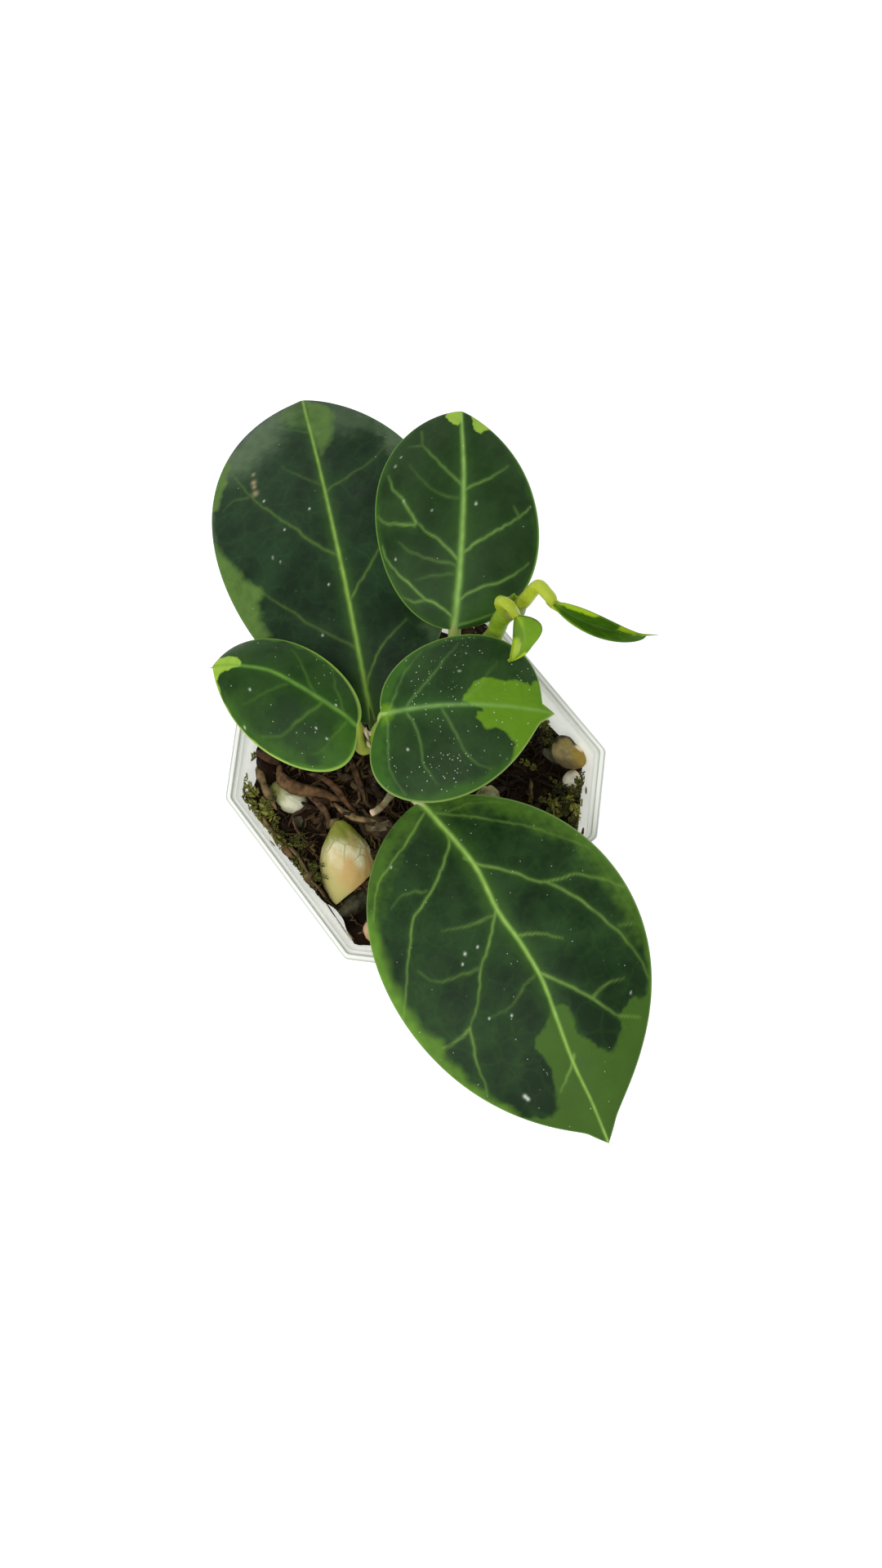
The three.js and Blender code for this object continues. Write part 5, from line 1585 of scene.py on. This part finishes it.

# %% [markdown]
# The leaf's skin is a thick waxy cuticle over dark green tissue. The finish mixes, from the bottom
# up: a mottled dark green, the glow beside the veins, the haze and the patches, a faint net of small
# veins, the veins, the thin pale margin, and last a dry scar and the white grains that lie on it.
# On the back left leaf part of the haze is a painted sheen, and on the hanging young leaf the margin
# is a dark painted shade.
# Gloss is a broad satin shine, broken by the grain of the cuticle.

# %% Leaves: their finish
def leaf_finish(name, dark, deep, haze, patch, vein, margin, net=0.1, underside="#5f7a44"):
    """Waxy hoya leaf, with the colours of one leaf. Attributes say where veins and patches are."""
    material, shader = begin(name, IOR=1.45, Specular_IOR_Level=0.14)
    numbers = {
        key: attribute(material, key)
        for key in (
            "vein", "glow", "haze", "patch", "islands", "margin", "scar", "dots", "dust", "under"
        )
    }
    place = object_place(material)
    clouds = noise(material, place, 0.009, 5.0, Roughness=0.62)
    cloud = stretch(material, clouds, (0.36, 0.64))
    colour = blend_colours(material, cloud, deep, dark)
    colour = blend_colours(material, numbers["glow"], colour, vein[1])
    flecks = noise(material, place, 0.0022, 4.0)
    broken = stretch(material, flecks, (0.0, 1.0), (0.55, 1.3))
    haze_and_sheen_share = combine(material, "MULTIPLY", numbers["haze"], broken)
    colour = blend_colours(material, haze_and_sheen_share, colour, haze)
    patch_tone = blend_colours(material, clouds, patch[0], patch[1])
    torn = combine(material, "MULTIPLY_ADD", flecks, 0.6, numbers["patch"])
    torn_edge = stretch(material, torn, (0.45, 1.2))
    colour = blend_colours(material, torn_edge, colour, patch_tone)
    colour = blend_colours(material, numbers["islands"], colour, deep)

    warp = noise(material, place, 0.006, 2.0, output="Color")
    bent = add(material, "ShaderNodeMix", {0: 0.006, 4: place, 5: warp}, data_type="VECTOR")
    cells = add(
        material, "ShaderNodeTexVoronoi", {"Vector": bent.outputs[1], "Scale": 1 / 0.0046},
        feature="DISTANCE_TO_EDGE"
    )
    line = stretch(material, cells.outputs["Distance"], (0.0, 0.1), (2 * net, 0.0))
    faint = combine(material, "MULTIPLY", line, clouds)
    colour = blend_colours(material, faint, colour, vein[1])
    colour = blend_colours(material, numbers["vein"], colour, vein[0])
    colour = blend_colours(material, numbers["margin"], colour, margin)

    dry = combine(material, "MULTIPLY", numbers["scar"], broken)
    colour = blend_colours(material, dry, colour, "#968c66")
    grains = add(material, "ShaderNodeTexVoronoi", {"Vector": place, "Scale": 1 / 0.0006})
    size = stretch(material, grains.outputs["Distance"], (0.1, 0.23), (1.0, 0.0))
    some = add(material, "ShaderNodeSeparateColor", {"Color": grains.outputs["Color"]})
    chosen = combine(material, "LESS_THAN", some.outputs[0], numbers["dust"])
    pale_share = stretch(material, some.outputs[1], (0.0, 1.0), (0.4, 1.0))
    each = combine(material, "MULTIPLY", pale_share, size)
    dust = combine(material, "MULTIPLY", each, chosen)
    white = combine(material, "MAXIMUM", dust, numbers["dots"])
    colour = blend_colours(material, white, colour, "#cdd8c4")
    pale = blend_colours(material, numbers["vein"], underside, "#8ba25c")
    colour = blend_colours(material, numbers["under"], colour, pale)
    link(material, colour, shader, "Base Color")

    pores = noise(material, place, 0.0006, 3.0)
    gloss = stretch(material, clouds, (0.3, 0.7), (0.38, 0.5))
    link(material, gloss, shader, "Roughness")
    roughen(material, shader, pores, 0.18, 0.0002)
    return material


LEAF_COLOURS = {
    "leaf_back_left": dict(
        # The grey haze colour of this leaf paints a sheen near its tip
        dark="#213a20", deep="#122612", haze="#5e7252", patch=("#446420", "#648240"),
        vein=("#94bc50", "#3a5c24"), margin="#5c8434",
    ),
    "leaf_front": dict(
        dark="#243f1c", deep="#12280f", haze="#64902a", patch=("#36521a", "#486a22"),
        vein=("#9ac45a", "#3a5e1e"), margin="#88aa5a",
    ),
    "leaf_back_right": dict(
        dark="#273f1b", deep="#18300f", haze="#3a661c", patch=("#82a530", "#98b946"),
        vein=("#8ab456", "#2f521c"), margin="#7fa83c",
    ),
    "leaf_left_small": dict(
        dark="#294816", deep="#18330f", haze="#4a7a1a", patch=("#86ab32", "#9dbc43"),
        vein=("#6c9a3a", "#264a12"), margin="#a5c85a",
    ),
    "leaf_centre": dict(
        dark="#28431b", deep="#193011", haze="#3b661c", patch=("#557c12", "#618a1a"),
        vein=("#7fa858", "#2c541d"), margin="#98b45a",
    ),
}
MARGIN_SHARE = {
    "leaf_back_left": 0.4, "leaf_front": 0.5, "leaf_back_right": 0.6, "leaf_left_small": 0.75,
    "leaf_centre": 0.65
}
DUST = {
    "leaf_back_left": 0.008, "leaf_front": 0.02, "leaf_back_right": 0.008, "leaf_left_small": 0.04,
    "leaf_centre": 0.14
}
print("leaf colours:", len(LEAF_COLOURS))

# %% [markdown]
# The blade is one closed grid. Each row goes across the upper face, round the right margin, back
# across the underside and round the left margin, so that the margin is a true round edge as thick
# as the leaf. The veins are sunk into the upper face and stand out of the lower one.

# %% Leaves: blades and petioles
BLADE_SIZES = {
    "leaf_back_left": (300, 220), "leaf_front": (300, 220), "leaf_back_right": (180, 150),
    "leaf_left_small": (150, 120), "leaf_centre": (160, 150),
}
BLADE_MIDDLE = 1.5
BLADE_EDGE = 0.85
PETIOLE_RADIUS = 1.3
UNDER_COLUMNS = 50
MARGIN_TURNS = np.radians([60, 30, 0, -30, -60])
FIELDS = ("haze", "patch", "islands", "scar", "dots", "haze_dust")


def blade_grid(leaf, rows, columns, edge):
    """u, v and the height share of every point: v stops short of the margin by half the edge's
    thickness, and the rest of the way round is a half circle."""
    u = (1 - np.cos(np.linspace(0.02, math.pi - 0.02, rows))) / 2
    upper, lower = np.linspace(-1, 1, columns), np.linspace(1, -1, UNDER_COLUMNS)
    turns = MARGIN_TURNS
    flat = np.concatenate([upper, np.ones(5), lower, -np.ones(5)])
    bulge = np.concatenate([0 * upper, np.cos(turns), 0 * lower, np.cos(turns)])
    height = np.concatenate([upper * 0 + 1, np.sin(turns), lower * 0 - 1, -np.sin(turns)])
    u, flat = np.broadcast_arrays(u[:, None], flat[None, :])
    half = width_share(leaf, u, flat) * of_side(leaf, flat, "width")
    inset = np.clip(0.5 * edge / np.maximum(half, 1e-6), 0, 0.4)
    return u, flat * (1 - inset * (1 - bulge)), np.broadcast_to(height, u.shape)


def tissue_fields(name, leaf, u, v, x, y, dust, margin):
    """The haze with its painted sheen, patches, islands, marks, margin and dust of a leaf, each a
    number from 0 to 1.
    """
    fields = {key: np.zeros_like(x) for key in FIELDS}
    for k, (key, strength, soft, ragged, corners) in enumerate(PATCHES.get(name, [])):
        share = strength * patch_share(leaf, x, y, corners, soft, ragged, 70 + 3 * k)
        fields[key] = np.maximum(fields[key], share)
    half = width_share(leaf, u, v) * of_side(leaf, v, "width")
    from_margin = half * (1 - np.abs(v))
    plane = np.stack([x, y, 0 * x], axis=-1)
    for hand, start, stop, reach, strength in MARGIN_BANDS.get(name, []):
        span = smoothstep(start - 0.03, start + 0.05, u) * (1 - smoothstep(stop - 0.05, stop + 0.03, u))
        band = smoothstep(reach * 1.5, reach * 0.2, from_margin + 0.3 * waves(plane, 3.0, 55)) * span
        fields["haze"] = np.maximum(fields["haze"], strength * band * (np.sign(v) == hand))
    for key, mark_u, mark_v, radius in MARKS.get(name, []):
        at_x, at_y = flat_place(leaf, np.array(mark_u), np.array(mark_v))
        fields[key] = np.maximum(
            fields[key], np.exp(-(((x - at_x) ** 2 + (y - at_y) ** 2) / radius**2))
        )
    dusty = dust * (
        0.35 + 1.3 * smoothstep(-0.4, 0.9, waves(plane, 7.0, 77))
    ) + 0.5 * fields.pop("haze_dust")
    for mark_u, mark_v, radius, share in DUSTY.get(name, []):
        at_x, at_y = flat_place(leaf, np.array(mark_u), np.array(mark_v))
        near = np.exp(-(((x - at_x) ** 2 + (y - at_y) ** 2) / radius**2))
        dusty = dusty + share * near * smoothstep(-0.9, 0.7, waves(plane, 1.6, 78))
    fields["margin"] = margin * smoothstep(0.42, 0.08, from_margin)
    fields["dust"] = dusty
    return fields


def make_blade(name, leaf, rows, columns, middle, edge, rib, laterals, lateral, dust=0.0, margin=0.6):
    """Points, faces and attributes of a blade, middle mm thick by the midrib and edge at its margin."""
    u, v, height = blade_grid(leaf, rows, columns, edge)
    x, y = flat_place(leaf, u, v)
    vein, glow = vein_fields(leaf, MIDRIBS.get(name, STRAIGHT), rib, laterals, x, y, lateral)
    steep = np.hypot(1, leaf["keel"] / of_side(leaf, v, "width"))
    thick = (
        middle + (edge - middle) * np.abs(v)
    ) * steep * np.minimum(1, 0.6 + 5 * np.minimum(u, 1 - u))
    plane = np.stack([x, y, 0 * x], axis=-1)
    swell = 0.16 * waves(plane, 17.0, 301) + 0.05 * waves(plane, 6.0, 302)
    relief = np.where(height >= 0, -0.2 * vein - 0.08 * glow, -0.22 * vein)
    inner = 1 - np.abs(v) ** 6
    raised = 0.5 * height * thick + (
        swell + relief * np.abs(height)
    ) * inner * min(1, leaf["length"] / 40)
    grid = leaf_point(leaf, u, v, raised)
    ends = leaf_point(leaf, np.array([0.0, 1.0]), np.zeros(2))
    points = np.vstack([grid.reshape(-1, 3), ends])
    fields = tissue_fields(name, leaf, u, v, x, y, dust, margin)
    mottled = 0.85 + 0.15 * waves(plane, 1.8, 91)
    fields.update(vein=vein * mottled, glow=glow * mottled, under=(height < -0.2).astype(float))
    padded = {
        key: np.concatenate([field.ravel(), field[0, :1], field[-1, :1]]) for key,
        field in fields.items()
    }
    return points, closed_faces(rows, grid.shape[1]), padded


def petiole_tube(leaf, foot, end, slim, middle, steps=70, sides=24):
    """The stalk: from the stem through its own points and on under the blade's first third. Its
    radius goes from foot to end over the share slim of its length, and then thins to a third."""
    under = np.array([0.01, 0.12, 0.3])
    below = leaf_point(leaf, under, 0 * under, -np.array([0.62, 0.6, 0.4]) * middle)
    path = smooth_path([above_pot(p) for p in leaf["petiole"]] + list(below), steps)
    t = np.linspace(0, 1, steps)
    radius = (foot + (end - foot) * np.minimum(1, t / slim)) * (
        1 - 0.66 * np.maximum(0, t - slim) / (1 - slim)
    )
    points, faces = tube(path, radius - 0.04, sides)
    return swollen(points, path, sides, 0.04 * waves(points, 1.8, 64)), faces


PETIOLE_LOOKS = {
    "leaf_back_left": ("#2c3a14", "#4a5a1e"),
    "leaf_front": ("#a9ab78", "#c4c498"),
    "leaf_back_right": ("#75863a", "#9aa85a"),
    "leaf_left_small": ("#7c8c22", "#a8b048"),
    "leaf_centre": ("#7c9c3c", "#a4bc5c"),
}
for name, look in LEAF_COLOURS.items():
    leaf = LEAVES[name]
    rows, columns = BLADE_SIZES[name]
    lines = (RIBS[name], VEINS[name], LATERAL_WIDTH)
    dust, margin = DUST[name], MARGIN_SHARE[name]
    points, faces, fields = make_blade(
        name, leaf, rows, columns, BLADE_MIDDLE, BLADE_EDGE, *lines, dust, margin
    )
    skin = leaf_finish("hoya_leaf_waxy_" + name[5:], **look)
    piece(name + "_blade", points, faces, skin, [name], fields)
    stalk = shoot_finish("petiole_" + name[5:], *PETIOLE_LOOKS[name], "#6b5a3a", 0.5)
    points, faces = petiole_tube(leaf, PETIOLE_RADIUS, PETIOLE_RADIUS, 0.35, 1.9)
    bark = {"woody": np.zeros(len(points))}
    piece(name + "_petiole", points, faces, stalk, numbers=bark)

# %% [markdown]
# The two young leaves are still folded like a boat, thin and yellow-green, with a darker blade
# between lime margins. Their stalks arch over from the growing end.

# %% Young leaves
YOUNG_VEIN_ROOTS = (0.12, 0.26, 0.4, 0.54, 0.68)
young_veins = [
    (0.14, [(root, 0), (root + 0.12, hand * 0.35), (root + 0.2, hand * 0.75)])
    for root in YOUNG_VEIN_ROOTS
    for hand in (-1, 1)
]
YOUNG_RIB = (0.22, 0.12, 0.4, 0.3)
YOUNG_MIDDLE = 1.0
YOUNG_EDGE = 0.7
YOUNG_LATERAL = 0.1
YOUNG_DUST = 0.02
YOUNG_MARGIN = 0.5
YOUNG_LOOKS = {
    "young_leaf_hanging": dict(
        dark="#739a1e", deep="#5a8216", haze="#96b024", patch=("#9ab81c", "#b0cc2c"),
        # The hanging leaf's dark margin colour is painted shade along its edge
        vein=("#a4c048", "#729c28"), margin="#33401a",
    ),
    "young_leaf_pointed": dict(
        dark="#3c640c", deep="#284a02", haze="#7a9c18", patch=("#86a618", "#9cba20"),
        vein=("#84a548", "#42701a"), margin="#5c7a1c",
    ),
}
MARGIN_BANDS["young_leaf_hanging"] = [(1, 0.3, 1.0, 0.4, 0.8)]
MARGIN_BANDS["young_leaf_pointed"] = [(1, 0.0, 0.4, 0.3, 1.0)]
PATCHES["young_leaf_hanging"] = [
    (
        "patch", 0.9, 0.6, 0.3,
        [(0.24, 1.2), (0.32, 0.6), (0.5, 0.25), (0.8, 0.06), (1.04, 0.0), (1.04, 1.2)]
    ),
    ("patch", 0.9, 0.25, 0.2, [(0.7, -0.5), (0.8, -0.25), (1.04, -0.1), (1.04, -1.2), (0.78, -1.2)]),
    ("haze", 0.8, 0.5, 0.2, [(-0.02, -1.2), (0.0, -0.3), (0.16, 0.0), (0.0, 0.4), (-0.02, 1.2)]),
]
PATCHES["young_leaf_pointed"] = [
    (
        "patch", 1.0, 0.3, 0.3,
        [(-0.02, -0.2), (0.06, -0.4), (0.2, -0.6), (0.42, -0.72), (0.52, -1.2), (-0.02, -1.2)]
    ),
    (
        "patch", 1.0, 0.2, 0.3,
        [(0.62, -0.15), (0.68, -1.2), (1.04, -0.9), (1.04, 0.9), (0.97, 0.9), (0.88, 0.0)]
    ),
    ("haze", 0.8, 0.6, 0.2, [(-0.02, -1.2), (-0.02, 1.2), (0.04, 1.2), (0.1, 0.0), (0.04, -1.2)]),
]
# The brown joint where both young stalks leave the stem
STALK_JOINT = (37.4, 2.4, 35.4)
# Each young stalk's radius at its foot and under the blade, and where it begins to thin
YOUNG_STALKS = {"young_leaf_hanging": (1.15, 1.05, 0.78), "young_leaf_pointed": (1.35, 1.1, 0.66)}
young_stalk = shoot_finish("young_petiole", "#8a9c0c", "#b4c238", "#8a6a48", 0.34)
for name, look in YOUNG_LOOKS.items():
    leaf = LEAVES[name]
    lines = (YOUNG_RIB, young_veins, YOUNG_LATERAL)
    points, faces, fields = make_blade(
        name, leaf, 120, 60, YOUNG_MIDDLE, YOUNG_EDGE, *lines, YOUNG_DUST, YOUNG_MARGIN
    )
    skin = leaf_finish(name + "_waxy", net=0.0, underside="#8aa62c", **look)
    piece(name + "_blade", points, faces, skin, [name], fields)
    points, faces = petiole_tube(leaf, *YOUNG_STALKS[name], 1.2)
    from_joint = np.linalg.norm(points - above_pot(STALK_JOINT), axis=1)
    woody = 0.55 * smoothstep(3.6, 0.6, from_joint)
    piece(name + "_petiole", points, faces, young_stalk, numbers={"woody": woody})

# %% [markdown]
# The studio is a white floor under a wide, soft light. The light comes from large panels at the
# sides and above, so that the leaves keep their dark green and show only a broad, low shine. The
# floor is a light table that glows a little, which thins the shadows and lights the clear wall.

# %% Floor and light
FLOOR_SIZE = 6.0
bpy.ops.mesh.primitive_plane_add(size=FLOOR_SIZE, location=(0, 0, 0))
floor = bpy.context.object
floor.name = "floor"
white, shader = begin(
    "matt_white_light_table", Roughness=0.9, Emission_Color=linear("#fdfdff"), Emission_Strength=0.3
)
place = object_place(white)
cloudy = noise(white, place, 0.08, 3.0)
link(white, blend_colours(white, cloudy, "#f9fafc", "#fefeff"), shader, "Base Color")
floor.data.materials.append(white)

world = bpy.data.worlds.new("soft_white_room")
world.use_nodes = True
world.node_tree.nodes["Background"].inputs["Color"].default_value = linear("#f4f7fb")
world.node_tree.nodes["Background"].inputs["Strength"].default_value = 0.5
bpy.context.scene.world = world


def panel(name, place, size, power):
    """A square soft light aimed at the plant."""
    light = bpy.data.lights.new(name, "AREA")
    light.shape, light.size, light.energy = "SQUARE", size, power
    lamp = bpy.data.objects.new(name, light)
    lamp.location = place
    aim = -lamp.location.normalized()
    lamp.rotation_euler = aim.to_track_quat("-Z", "Y").to_euler()
    bpy.context.scene.collection.objects.link(lamp)


panel("panel_top", (-0.35, -0.1, 0.9), 0.7, 3.5)
panel("panel_left", (-0.85, 0.1, 0.62), 0.7, 2.4)
panel("panel_right", (0.85, 0.15, 0.62), 0.7, 1.8)
panel("panel_back", (0.1, 0.95, 0.7), 0.7, 2.2)
panel("panel_front", (-0.15, -0.95, 0.6), 0.7, 1.8)

# %% [markdown]
# Last comes a helper that lists the corners of a box.

# %% Corners of a box
def corners(box):
    return [list(corner) for corner in box]
